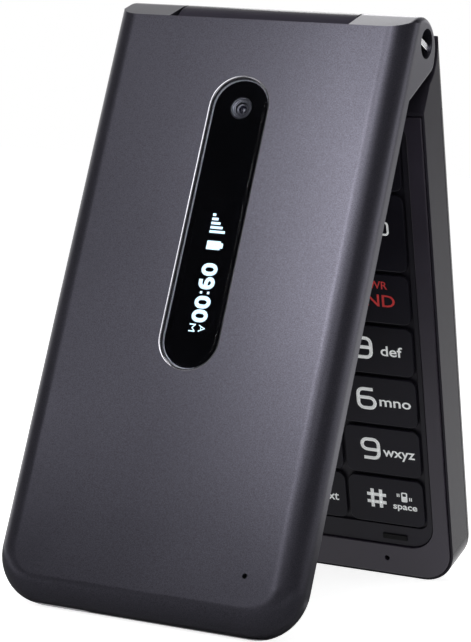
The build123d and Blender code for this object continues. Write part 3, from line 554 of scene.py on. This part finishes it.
def digit(sign, wide, high, pen, radius):
    """A squarish rounded digit, middled on the origin."""
    across = wide - pen
    tall = high - pen
    runs = [[((x - 0.5) * across, (y - 0.5) * tall) for x, y in run] for run in digit_runs[sign]]
    return pen_strokes(runs, pen, radius)


# ---------------------------------------------------------------- camera
picture_wide = 471        # pixels
focal_pixels = 2475.75
sensor_wide = 36.0        # mm
camera_place = Vector((185.06, -399.2, 87.53)) * mm
camera_forward = Vector((-0.42822, 0.89928, -0.08902))
camera_right = Vector((0.89841, 0.43427, 0.06537))


def build_camera():
    """Long lens at the height of the lid, looking slightly down."""
    lens = bpy.data.cameras.new("camera")
    lens.sensor_fit = "HORIZONTAL"
    lens.sensor_width = sensor_wide
    lens.lens = focal_pixels * sensor_wide / picture_wide
    lens.clip_start = 0.01
    lens.clip_end = 20
    camera = bpy.data.objects.new("camera", lens)
    back = -camera_forward.normalized()
    up = back.cross(camera_right).normalized()
    right = up.cross(back)
    turn = Matrix((right, up, back)).transposed()
    camera.matrix_world = Matrix.Translation(camera_place) @ turn.to_4x4()
    bpy.context.scene.collection.objects.link(camera)
    bpy.context.scene.camera = camera


# ---------------------------------------------------------------- floor, backdrop and lamps
floor_reach = 3.0         # metres from the phone to the edge of the floor
floor_lift = 0.82         # light added for the camera, so that the floor runs into the backdrop


def seen_rays(tree):
    """One for rays that show the background: the camera's own, and those by way of gloss or glass."""
    ray = new_node(tree, "LightPath")
    seen = ray.outputs["Is Camera Ray"]
    for kind in ("Is Glossy Ray", "Is Transmission Ray"):
        either = new_node(tree, "Math")
        either.operation = "MAXIMUM"
        tree.links.new(seen, either.inputs[0])
        tree.links.new(ray.outputs[kind], either.inputs[1])
        seen = either.outputs["Value"]
    return seen


def stage_disc(name, radius, place, material):
    """A flat disc of the stage, in metres, which isn't part of the phone."""
    shape = bmesh.new()
    bmesh.ops.create_circle(shape, cap_ends=True, segments=64, radius=radius)
    mesh = mesh_of(shape, name)
    mesh.transform(Matrix.Translation(place))
    mesh.materials.append(material)
    disc = bpy.data.objects.new(name, mesh)
    bpy.context.scene.collection.objects.link(disc)
    return disc


def build_floor():
    """Pale floor that looks as white as the backdrop, but takes its light and shadow from the lamps."""
    material, skin = shader("floor", (0.9, 0.9, 0.9), 0.8, gloss=0.0)
    tree = material.node_tree
    lift = new_node(tree, "Math", {1: floor_lift})
    lift.operation = "MULTIPLY"
    tree.links.new(seen_rays(tree), lift.inputs[0])
    skin.inputs["Emission Color"].default_value = (1, 1, 1, 1)
    tree.links.new(lift.outputs["Value"], skin.inputs["Emission Strength"])
    stage_disc("floor", floor_reach, (0, 0, 0), material)


room_light = 0.28         # light of the room on everything
room_front = 0.05         # how bright gloss sees the room on the camera's side
backdrop_from = 0.3       # cosine off the camera's line where the white backdrop starts
backdrop_full = 0.95      # and where it is at its whitest


def build_world():
    """A white backdrop behind the phone for the camera, gloss and glass, and an even room for the rest."""
    world = bpy.data.worlds.new("studio")
    bpy.context.scene.world = world
    world.use_nodes = True
    tree = world.node_tree
    white = tree.nodes["Background"]
    white.inputs["Color"].default_value = (1, 1, 1, 1)
    room = new_node(tree, "Background", {"Color": (1, 1, 1, 1), "Strength": room_light})
    direction = new_node(tree, "TexCoord")
    along = new_node(tree, "VectorMath", {1: camera_forward})
    along.operation = "DOT_PRODUCT"
    span = new_node(tree, "MapRange", {
        "From Min": backdrop_from, "From Max": backdrop_full, "To Min": room_front, "To Max": 1.0})
    ray = new_node(tree, "LightPath")
    level = new_node(tree, "Math")
    level.operation = "MAXIMUM"
    tree.links.new(direction.outputs["Generated"], along.inputs[0])
    tree.links.new(along.outputs["Value"], span.inputs["Value"])
    tree.links.new(span.outputs["Result"], level.inputs[0])
    tree.links.new(ray.outputs["Is Camera Ray"], level.inputs[1])
    tree.links.new(level.outputs["Value"], white.inputs["Strength"])
    both = new_node(tree, "MixShader")
    tree.links.new(seen_rays(tree), both.inputs["Fac"])
    tree.links.new(room.outputs["Background"], both.inputs[1])
    tree.links.new(white.outputs["Background"], both.inputs[2])
    tree.links.new(both.outputs["Shader"], tree.nodes["World Output"].inputs["Surface"])


def soft_lamp(name, place, aim, size, brightness):
    """A soft square lamp at a place in millimetres, turned towards another; white paper is brightness 1."""
    light = bpy.data.lights.new(name, "AREA")
    light.shape = "SQUARE"
    light.size = size * mm
    light.energy = brightness * pi * light.size**2
    lamp = bpy.data.objects.new(name, light)
    spot = Vector(place) * mm
    lamp.location = spot
    lamp.rotation_euler = (Vector(aim) * mm - spot).to_track_quat("-Z", "Y").to_euler()
    lamp.visible_camera = False
    bpy.context.scene.collection.objects.link(lamp)


def lamp_row(name, lowest, highest, aim, size, levels):
    """Lamps one above the other at even steps, each with its own brightness, lowest first."""
    for i, brightness in enumerate(levels):
        place = Vector(lowest).lerp(Vector(highest), i / (len(levels) - 1))
        soft_lamp(f"{name}_{i}", place, aim, size, brightness)


lid_middle = (20, -20, 60)        # most lamps are turned towards these two
base_back_middle = (0, 40, 60)
lamp_rows = (             # name, lowest place, highest place, aim, size and brightness of each
    ("front_row", (-47, -194, 124), (-44, -154, 218), (30, -20, 65), 40, (3.5, 5.4, 6.4, 5.0)),
    ("middle_row", (-24, -196, 125), (-22, -169, 191), (46, -25, 57), 50, (0.6, 3.2, 2.8)),
    ("left_row", (-122, -185, 119), (-119, -146, 212), (-24, -20, 65), 40, (2.0, 1.0, 1.6)),
    ("right_row", (-6, -217, 83), (40, -155, 204), lid_middle, 70, (0.95, 2.8, 3.7)),
)
lamps = (                 # name, place, aim, size and brightness
    ("right_lamp", (88, -188, 149), lid_middle, 70, 0.75),
    ("upper_right_lamp", (74, -148, 204), lid_middle, 70, 1.45),
    ("far_right_lamp", (129, -167, 149), lid_middle, 70, 0.75),
    ("top_lamp", (40, 0, 330), (20, 0, 100), 100, 4),
    ("back_left_lamp", (-150, 420, 300), base_back_middle, 150, 3),
    ("back_right_lamp", (170, 460, 200), base_back_middle, 150, 1.2),
    ("side_lamp", (307, 80, 97), lid_middle, 110, 0.6),
    ("rear_side_lamp", (256, 169, 97), lid_middle, 110, 1.6),
)
flags = (                 # name, radius and place in millimetres; at their own heights, as they overlap
    ("front_flag", 140, (40, -170, 0.5)),
    ("left_flag", 60, (-75, -10, 0.6)),
    ("right_flag", 110, (143, 0, 0.7)),
    # the two foot flags are painted shadow: dark discs where the floor lies in the phone's shadow at its
    # feet, which the floor's added light takes out of reflections
    ("left_foot_painted_shadow", 22, (-24, -44, 0.8)),
    ("right_foot_painted_shadow", 22, (26, -44, 0.9)),
)


def build_lamps():
    """Rows of lamps in front for the sheen on the lid, and single ones for the sides, top and back."""
    for row in lamp_rows:
        lamp_row(*row)
    for lamp in lamps:
        soft_lamp(*lamp)


def build_flags():
    """Dark cards on the floor round the phone: only the gloss of its finishes sees them. Those at the
    phone's feet are painted shadow, seen in the gloss.
    """
    material, skin = shader("flag_cloth", (0.2, 0.2, 0.2), 0.9, gloss=0.0)
    for name, radius, place in flags:
        flag = stage_disc(name, radius * mm, Vector(place) * mm, material)
        for kind in ("camera", "diffuse", "transmission", "shadow"):
            setattr(flag, f"visible_{kind}", False)


# ---------------------------------------------------------------- softened skins
outer_skins = {           # width of the rounded edges
    "lid_cover": 0,
    "lid_bezel": 0.1,
    "base_front": 0.16,
    "base_rear": 0.1,
    "battery_cover": 0.08,
    "keypad_panel": 0.12,
    "volume_rocker": 0.2,
    "outer_window": 0.12,
    "main_display_window": 0.1,
    "strap_bar": 0.12,
    "nav_ring": 0.25,
    "ok_key": 0.25,
}
key_nodes = [part["node"] for part in frame["record"]["subparts"]
             if part["material_slot"] == "key_gloss" and part["node"] not in outer_skins]
key_edge = 0.22
key_edge_steps = 3


def build_skins():
    """Soft edges for the moulded parts and the keys."""
    for node, width in outer_skins.items():
        skin_over(node, width)
    for node in key_nodes:
        skin_over(node, key_edge, key_edge_steps)


own_finish = {"dome_sheet": "dark_film"}      # in place of that of its slot


def finish_cad_nodes():
    """Gives every CAD node that still shows its own finish, or that of its slot."""
    for node, obj in nodes.items():
        if not obj.hide_render:
            obj.data.materials.clear()
            obj.data.materials.append(finish[own_finish.get(node, record_slots[node])])


# ---------------------------------------------------------------- key legends
digit_wide = 3.95
digit_high = 4.5
digit_pen = 0.68
digit_bend = 1.05         # radius of its corners
digit_left = 2.4          # from the middle of the key
digit_up = 0.3
hash_wide = 4.5
hash_left = 1.9
letters_right = 3.25
letters_down = 0.95       # from the middle of the key to the letters' feet
letters_high = 2.05       # capital height; the small letters are three quarters of it
bold_ink = 0.035          # how much fatter the outline of the type is
half_bold_ink = 0.02
icon_pen = 0.4
number_keys = {
    "key_one": "1", "key_two": "2", "key_three": "3", "key_four": "4", "key_five": "5", "key_six": "6",
    "key_seven": "7", "key_eight": "8", "key_nine": "9", "key_star": "*", "key_zero": "0", "key_hash": "#",
}
key_letters = {           # letters and their width
    "key_two": ("abc", 4.7), "key_three": ("def", 4.25), "key_four": ("ghi", 4.0), "key_five": ("jkl", 3.5),
    "key_six": ("mno", 6.2), "key_seven": ("pqrs", 6.1), "key_eight": ("tuv", 4.7),
    "key_nine": ("wxyz", 6.3),
}


def vibrate_icon():
    """A small phone between two pairs of short waves."""
    wave_middles = ((-1.4, 0.3), (-1.05, 0.3), (1.05, -0.3), (1.4, -0.3))
    waves = [[(x, y - 0.35), (x, y + 0.35)] for x, y in wave_middles]
    phone = flat_shape((rectangle(1.2, 2.0), 0.25), [(rectangle(0.7, 0.6, 0, 0.45), 0.1)])
    return [pen_strokes(waves, 0.2, 0), phone]


def camera_icon():
    """Case, round lens and viewfinder."""
    lens = ring_of(rectangle(1.3, 1.3, 0, -0.1))
    case = ring_of(rectangle(3.7, 2.3, 0, -0.1))
    return [pen_strokes([case], icon_pen, 0.5), pen_strokes([lens], icon_pen * 0.8, 0.65),
            flat_shape((rectangle(1.3, 0.5, 0, 1.35), 0.15))]


def envelope_icon():
    """Envelope with its flap."""
    flap = [(-1.85, 1.15), (0, -0.2), (1.85, 1.15)]
    return [pen_strokes([ring_of(rectangle(3.8, 2.4))], icon_pen, 0.3), pen_strokes([flap], icon_pen, 0.2)]


def voice_mail_icon():
    """Two reels on a tape."""
    reels = [ring_of(rectangle(1.1, 1.1, x, 0)) for x in (-1.1, 1.1)]
    return [pen_strokes([*reels, [(-1.1, -0.55), (1.1, -0.55)]], 0.3, 0.55)]


def shift_icon():
    """Outline of an arrow that points up."""
    arrow = [(-0.5, -1), (-0.5, 0), (-1.1, 0), (0, 1.1), (1.1, 0), (0.5, 0), (0.5, -1), (-0.5, -1)]
    return [pen_strokes([arrow], 0.26, 0.05)]


def ring_arrows():
    """Four arrowheads, one towards each side of the navigation ring."""
    arrow = [(-0.9, -0.45), (0, 0.45), (0.9, -0.45)]
    out = 9.7             # from the middle of the ring
    return [shifted(shifted(pen_strokes([arrow], 0.34, 0.1), 0, out), 0, 0, turned=quarter * pi / 2)
            for quarter in range(4)]


def dash_icon():
    """Short dash of a soft key."""
    return [pen_strokes([[(-1.6, 0), (1.6, 0)]], icon_pen, 0)]


key_words = {             # word, its height, width and boldness, and where its feet are
    "key_zero": (("next", 1.85, 4.4, bold_ink, 3.8, -1.25),),
    "key_hash": (("space", 1.35, 4.8, bold_ink, 3.75, -1.4),),
    "end_key": (("PWR", 1.55, 4.5, half_bold_ink, 1.1, 1.97),
                ("END", 2.45, 7.5, half_bold_ink, 0.9, -1.49)),
    "send_key": (("SEND", 2.45, 9.4, half_bold_ink, 0, -1.2),),
    "clear_key": (("CLR", 2.1, 5.2, half_bold_ink, 0, -1.0),),
    "ok_key": (("OK", 2.2, 4.6, bold_ink, 0, -1.1),),
}
key_icons = {             # drawing and its place from the middle of the key
    "key_one": (voice_mail_icon, letters_right, 0),
    "key_star": (shift_icon, letters_right, 0),
    "key_hash": (vibrate_icon, 3.7, 1.2),
    "soft_key_left": (dash_icon, -2.1, 0),
    "soft_key_right": (dash_icon, 2.1, 0),
    "camera_key": (camera_icon, 2.4, 0.95),
    "message_key": (envelope_icon, -2.4, 0.95),
    "nav_ring": (ring_arrows, 0, 0),
}
key_inks = {"end_key": "ink_red", "send_key": "ink_green"}    # where it isn't white


def key_middle(node):
    """Middle of a key across and along the phone, and the height of its top."""
    low, high = extent(node, base_space)
    return (low.x + high.x) / 2, (low.y + high.y) / 2, high.z


def key_marks(node):
    """The marks of a key, drawn round its middle: its sign, its letters or words, and its icon."""
    marks = []
    if node in number_keys:
        sign = number_keys[node]
        wide, left = (hash_wide, hash_left) if sign == "#" else (digit_wide, digit_left)
        marks.append(shifted(digit(sign, wide, digit_high, digit_pen, digit_bend), -left, digit_up))
    if node in key_letters:
        text, wide = key_letters[node]
        marks.append(shifted(lettering(text, letters_high, wide, bold_ink), letters_right, -letters_down))
    for text, high, wide, bold, x, y in key_words.get(node, ()):
        marks.append(shifted(lettering(text, high, wide, bold), x, y))
    if node in key_icons:
        icon, x, y = key_icons[node]
        marks += [shifted(mesh, x, y) for mesh in icon()]
    return marks


def build_legends():
    """Prints every key's marks on its top."""
    for node in dict.fromkeys((*number_keys, *key_words, *key_icons)):
        name = f"{node}_legend"
        x, y, top = key_middle(node)
        mark = shifted(one_mesh(name, key_marks(node)), x, y, top + ink_thick / 2)
        join_up(name, mark, base_space, body_of(node), key_inks.get(node, "ink_white"))


# ---------------------------------------------------------------- outer display and camera
lit_foot = -0.95          # feet of the lit signs, across the phone
lit_high = 3.05
lit_digit_wide = 2.25
lit_pen = 0.74
lit_bend = 0.9            # radius of the digits' corners
lit_digits = (("0", 43.5), ("9", 45.9), ("0", 49.3), ("0", 51.7))     # and their places from the hinge
bar_wide = 0.46
bars = ((33.8, 0.6), (34.55, 1.2), (35.3, 1.75), (36.05, 2.3), (36.8, 2.9))   # their places and heights
battery_place = 39.2
battery_sign = (1.55, 2.6, 0.15)      # width, height and radius of the corners
battery_tip = (0.9, 0.5, 0.1)
tip_foot = 2.55
colon_place = 47.6
colon_dot = 0.42
colon_feet = (0.64, 1.99)
half_day_place = 53.85
half_day_high = 1.25
half_day_letters = (("A", 1.25, 0.85), ("M", 1.4, lit_foot))  # their widths, and where their feet are
block_bend = 0.05         # radius of the corners of bars and dots


def along_pill(mesh, s, x):
    """Turns a mark so that it reads towards the free end and carries it to its place on the lid."""
    return shifted(mesh, x, -s, 0, turned=-pi / 2)


def lit_block(wide, high, radius, s, foot=0.0):
    """A lit block with rounded corners that stands this far above the feet of the signs."""
    return along_pill(flat_shape((rectangle(wide, high), radius)), s, lit_foot + foot + high / 2)


def build_lit_display():
    """Signal bars, battery and time, read along the outer window."""
    marks = [lit_block(bar_wide, high, block_bend, place) for place, high in bars]
    marks.append(lit_block(*battery_sign, battery_place))
    marks.append(lit_block(*battery_tip, battery_place, tip_foot))
    for sign, s in lit_digits:
        shape = digit(sign, lit_digit_wide, lit_high, lit_pen, lit_bend)
        marks.append(along_pill(shape, s, lit_foot + lit_high / 2))
    marks += [lit_block(colon_dot, colon_dot, block_bend, colon_place, foot) for foot in colon_feet]
    for letter, wide, foot in half_day_letters:
        marks.append(along_pill(lettering(letter, half_day_high, wide), half_day_place, foot))
    face = extent("outer_display", lid_space)[1].z
    lit = shifted(one_mesh("lit_signs", marks), 0, 0, face + ink_thick / 2)
    join_up("lit_signs", lit, lid_space, "lid", "display_glow")


camera_opening = 2.05     # radius of the clear eye in the black print
seal_wide = 0.2
seal_thick = 0.06
seal_room = 0.09          # how far it reaches past the edge of the window
seal_down = 0.01          # below the underside of the window
print_inset = 0.2
print_thick = 0.02
print_down = 0.025
pane_bend = 0.5           # radius of the corners of the opening over the display


def build_painted_highlight_seal():
    """Pale seal under the edge of the window, along the wall of its recess; its near-white colour is a
    painted highlight along the window's edge.
    """
    low, high = extent("outer_window", lid_space)
    middle = (low.y + high.y) / 2
    wide = high.x - low.x + 2 * seal_room
    tall = high.y - low.y + 2 * seal_room
    outline = (rectangle(wide, tall, 0, middle), wide / 2)
    hole = (rectangle(wide - 2 * seal_wide, tall - 2 * seal_wide, 0, middle), wide / 2 - seal_wide)
    ring = shifted(flat_shape(outline, [hole], seal_thick), 0, 0, low.z - seal_down - seal_thick / 2)
    join_up("painted_highlight_seal", ring, lid_space, "lid", "painted_highlight_seal")


def build_window_print():
    """Black print under the outer window, open over the display and the camera."""
    low, high = extent("outer_window", lid_space)
    wide = high.x - low.x - 2 * print_inset
    tall = high.y - low.y - 2 * print_inset
    outline = rectangle(wide, tall, 0, (low.y + high.y) / 2)
    lens_low, lens_high = extent("camera_lens", lid_space)
    eye = rectangle(2 * camera_opening, 2 * camera_opening, 0, (lens_low.y + lens_high.y) / 2)
    pane_low, pane_high = extent("outer_display", lid_space)
    pane = rectangle(pane_high.x - pane_low.x, pane_high.y - pane_low.y, 0, (pane_low.y + pane_high.y) / 2)
    mesh = flat_shape((outline, wide / 2), [(eye, camera_opening), (pane, pane_bend)], print_thick)
    mesh = shifted(mesh, 0, 0, low.z - print_down)
    join_up("window_print", mesh, lid_space, "lid", "window_print")


lathe_steps = 64
lens_steps = (            # radius and depth of the steps inside the lens ring, from the front lens outwards
    (0.74, 0.95), (0.74, 0.75), (0.95, 0.72), (1.18, 0.36), (1.32, 0.34), (1.38, 0.2), (1.62, 0.17),
    (1.68, 0.03),
)
ring_foot = 0.95          # depth of the underside of the lens ring
ring_edge = 0.02
front_lens_radius = 0.72
front_lens_bulge = 0.3    # its height in parts of its radius
barrel_radius = 2.6
barrel_room = 0.06        # between the barrel and the lens ring in it
barrel_deep = 0.6
barrel_in_case = 0.05
barrel_edge = 0.05
case_edge = 0.3


def turned_ring(profile):
    """A ring turned on a lathe from the corner points of its section, radius and height."""
    shape = bmesh.new()
    corners = [shape.verts.new((radius, 0, z)) for radius, z in profile]
    section = shape.faces.new(corners)
    bmesh.ops.spin(shape, geom=[section, *section.edges, *section.verts], cent=(0, 0, 0), axis=(0, 0, 1),
                   angle=2 * pi, steps=lathe_steps, use_merge=True)
    # The spin leaves its section behind at each step; those with more than four corners go.
    bmesh.ops.delete(shape, geom=[f for f in shape.faces if len(f.verts) > 4], context="FACES")
    bmesh.ops.remove_doubles(shape, verts=shape.verts[:], dist=weld)
    bmesh.ops.recalc_face_normals(shape, faces=shape.faces[:])
    return mesh_of(shape, "turned_ring")


def lens_dome():
    """Flattened ball of the front lens."""
    shape = bmesh.new()
    bmesh.ops.create_uvsphere(shape, u_segments=48, v_segments=24, radius=front_lens_radius)
    bmesh.ops.transform(shape, matrix=Matrix.Diagonal((1, 1, front_lens_bulge, 1)), verts=shape.verts[:])
    return mesh_of(shape, "front_lens")


def build_outer_camera():
    """Stepped lens ring, front lens and body of the camera, in place of the plain CAD ones."""
    low, high = extent("camera_lens", lid_space)
    module_low, module_high = extent("camera_module", lid_space)
    radius = high.x
    y = (low.y + high.y) / 2
    outside = ((radius - 0.05, 0.02), (radius, 0.07), (radius, 0.8), (radius - 0.2, ring_foot))
    ring = turned_ring([(across, high.z - deep) for across, deep in (*lens_steps, *outside)])
    stack = join_up("camera_lens_ring", shifted(ring, 0, y), lid_space, "lid", "lens_ring")
    soften(stack, ring_edge)
    dome = shifted(lens_dome(), 0, y, high.z - ring_foot)
    eye = join_up("camera_front_lens", dome, lid_space, "lid", "lens_glass")
    eye.data.shade_smooth()
    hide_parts("camera_lens")
    barrel_inside = radius + barrel_room
    well = module_high.z - barrel_deep
    barrel = turned_ring([(barrel_inside, well), (barrel_radius, well), (barrel_radius, module_high.z),
                          (barrel_inside, module_high.z)])
    wide = module_high.x - module_low.x
    tall = well + barrel_in_case - module_low.z
    case = rounded_box("camera_case", (wide, wide, tall), (0, 0, module_low.z + tall / 2), case_edge)
    mesh = shifted(one_mesh("camera_body", [barrel, case]), 0, y)
    body = join_up("camera_body", mesh, lid_space, "lid", "board_parts")
    soften(body, barrel_edge)
    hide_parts("camera_module")


# ---------------------------------------------------------------- small parts inside and on the back
gauze_pitch = 0.62        # of the holes
gauze_hole = 0.34
gauze_edge = 0.3          # plain edge round the holes
gauze_thick = 0.08
gauze_proud = 0.06        # of the speaker that it covers
gauze_bend = 0.5          # radius of its corners
hole_bend = 0.35          # and of those of a hole, in parts of the hole


def perforated(wide, high, middle):
    """Square holes at an even pitch in a sheet of a size that is middled on a place along the phone."""
    across = int((wide - 2 * gauze_edge) / gauze_pitch)
    along = int((high - 2 * gauze_edge) / gauze_pitch)
    holes = []
    for i in range(across + 1):
        for j in range(along + 1):
            x = (i - across / 2) * gauze_pitch
            y = middle + (j - along / 2) * gauze_pitch
            holes.append((rectangle(gauze_hole, gauze_hole, x, y), gauze_hole * hole_bend))
    return holes


def build_gauze(name, node, space, high=None, wide_share=1.0):
    """Fine perforated sheet that covers a speaker, or a strip of it, seen through its slots."""
    low, top = extent(node, space)
    middle = (low.y + top.y) / 2
    high = high or top.y - low.y
    wide = (top.x - low.x) * wide_share
    outline = (rectangle(wide, high, 0, middle), gauze_bend)
    sheet = flat_shape(outline, perforated(wide, high, middle), gauze_thick)
    sheet = shifted(sheet, 0, 0, low.z - gauze_proud)
    join_up(name, sheet, space, body_of(node), "steel")


def build_speaker_details():
    """Gauze of the loudspeaker at the back and of the ear speaker."""
    build_gauze("speaker_gauze", "loudspeaker", base_space)
    build_gauze("earpiece_gauze", "earpiece", lid_space, 2.4, 0.9)


tongue_wide = 5.2
tongue_long = 3.2
tongue_thick = 0.55
tongue_in = 0.7           # from the mouth of the port
tongue_edge = 0.12
contact_size = (0.42, 2.2)
contact_bend = 0.08       # radius of their corners
contact_pitch = 0.85
contact_in = 2.1          # from the mouth to the contacts' middles
contact_up = 0.29         # above the middle of the tongue


def build_port_tongue():
    """Tongue of the charging port with its five contacts."""
    low, high = extent("charge_port", base_space)
    middle = (low.z + high.z) / 2
    body = body_of("charge_port")
    place = (0, low.y + tongue_in + tongue_long / 2, middle)
    tongue = rounded_box("port_tongue", (tongue_wide, tongue_long, tongue_thick), place, tongue_edge)
    join_up("port_tongue", tongue, base_space, body, "board_parts")
    pads = []
    for i in range(-2, 3):
        pad = flat_shape((rectangle(*contact_size), contact_bend))
        pads.append(shifted(pad, i * contact_pitch, low.y + contact_in, middle + contact_up))
    join_up("port_contacts", one_mesh("port_contacts", pads), base_space, body, "gold")


label_wide = 26
label_long = 38
label_bend = 1.0          # radius of its corners
label_down = 4            # from the middle of the cell towards the free end
rule_wides = (20, 17, 19, 12, 18, 15, 9)      # ruled lines, from the top of the label down
rule_thick = 0.5
rule_bend = 0.1
rule_pitch = 2.6
rules_up = 8              # from the middle of the cell
ratings = "3.8 V  1500 mAh  5.7 Wh"
ratings_high = 1.5
ratings_down = 16
sign_long = 1.6
sign_pen = 0.35
sign_out = 3.75           # from the middle of the cell
sign_in = 3               # from the end of the cell


def build_battery_marks():
    """Label on the cell with its ruled lines and ratings, and the plus and minus signs by its contacts."""
    low, high = extent("battery", base_space)
    middle = (low.y + high.y) / 2
    body = body_of("battery")
    face = low.z - ink_thick / 2
    paper = flat_shape((rectangle(label_wide, label_long), label_bend))
    join_up("battery_label", shifted(paper, 0, middle - label_down, face), base_space, body, "label_paper")
    marks = []
    for i, wide in enumerate(rule_wides):
        rule = flat_shape((rectangle(wide, rule_thick), rule_bend))
        marks.append(shifted(rule, (rule_wides[0] - wide) / 2, middle + rules_up - i * rule_pitch))
    words = shifted(lettering(ratings, ratings_high, rule_wides[0]), 0, middle - ratings_down)
    words.transform(Matrix.Diagonal((-1, 1, 1, 1)))       # they are read from behind
    marks.append(words)
    lines = shifted(one_mesh("battery_print", marks), 0, 0, face - ink_thick)
    join_up("battery_print", lines, base_space, body, "label_ink")
    reach = sign_long / 2
    flat = [(-reach, 0), (reach, 0)]
    upright = [(0, -reach), (0, reach)]
    plus = shifted(pen_strokes([flat, upright], sign_pen, 0), -sign_out, high.y - sign_in)
    minus = shifted(pen_strokes([flat], sign_pen, 0), sign_out, high.y - sign_in)
    signs = shifted(one_mesh("battery_signs", [plus, minus]), 0, 0, face)
    join_up("battery_signs", signs, base_space, body, "ink_print")


screw_head = 1.0          # radius
slot_reach = 0.6          # of a cross slot from the middle of the head
slot_pen = 0.3
first_row_across = 25.9   # the row beside the hinge
screw_rows = ((25.9, -78.0), (21.6, -98.4))   # across and along the phone


def build_screw_slot_shade():
    """Cross slots in the heads of the six screws at the back, drawn as flat dark marks: painted shade of
    the recesses.
    """
    low, high = extent("base_screws", base_space)
    cross = [[(-slot_reach, 0), (slot_reach, 0)], [(0, -slot_reach), (0, slot_reach)]]
    crosses = []
    for x, y in ((first_row_across, high.y - screw_head), *screw_rows):
        for side in (-1, 1):
            crosses.append(shifted(pen_strokes(cross, slot_pen, 0), side * x, y, low.z))
    mesh = one_mesh("screw_slot_shade", crosses)
    # near-black rubber colour: painted shade inside the cross recesses
    join_up("screw_slot_shade", mesh, base_space, body_of("base_screws"), "rubber")


# ---------------------------------------------------------------- the whole scene
build_camera()
build_world()
build_floor()
build_lamps()
build_flags()
build_skins()
build_legends()
build_lit_display()
build_window_print()
build_painted_highlight_seal()
build_outer_camera()
build_speaker_details()
build_port_tongue()
build_battery_marks()
build_screw_slot_shade()
finish_cad_nodes()

bpy.context.scene.view_settings.view_transform = "Standard"
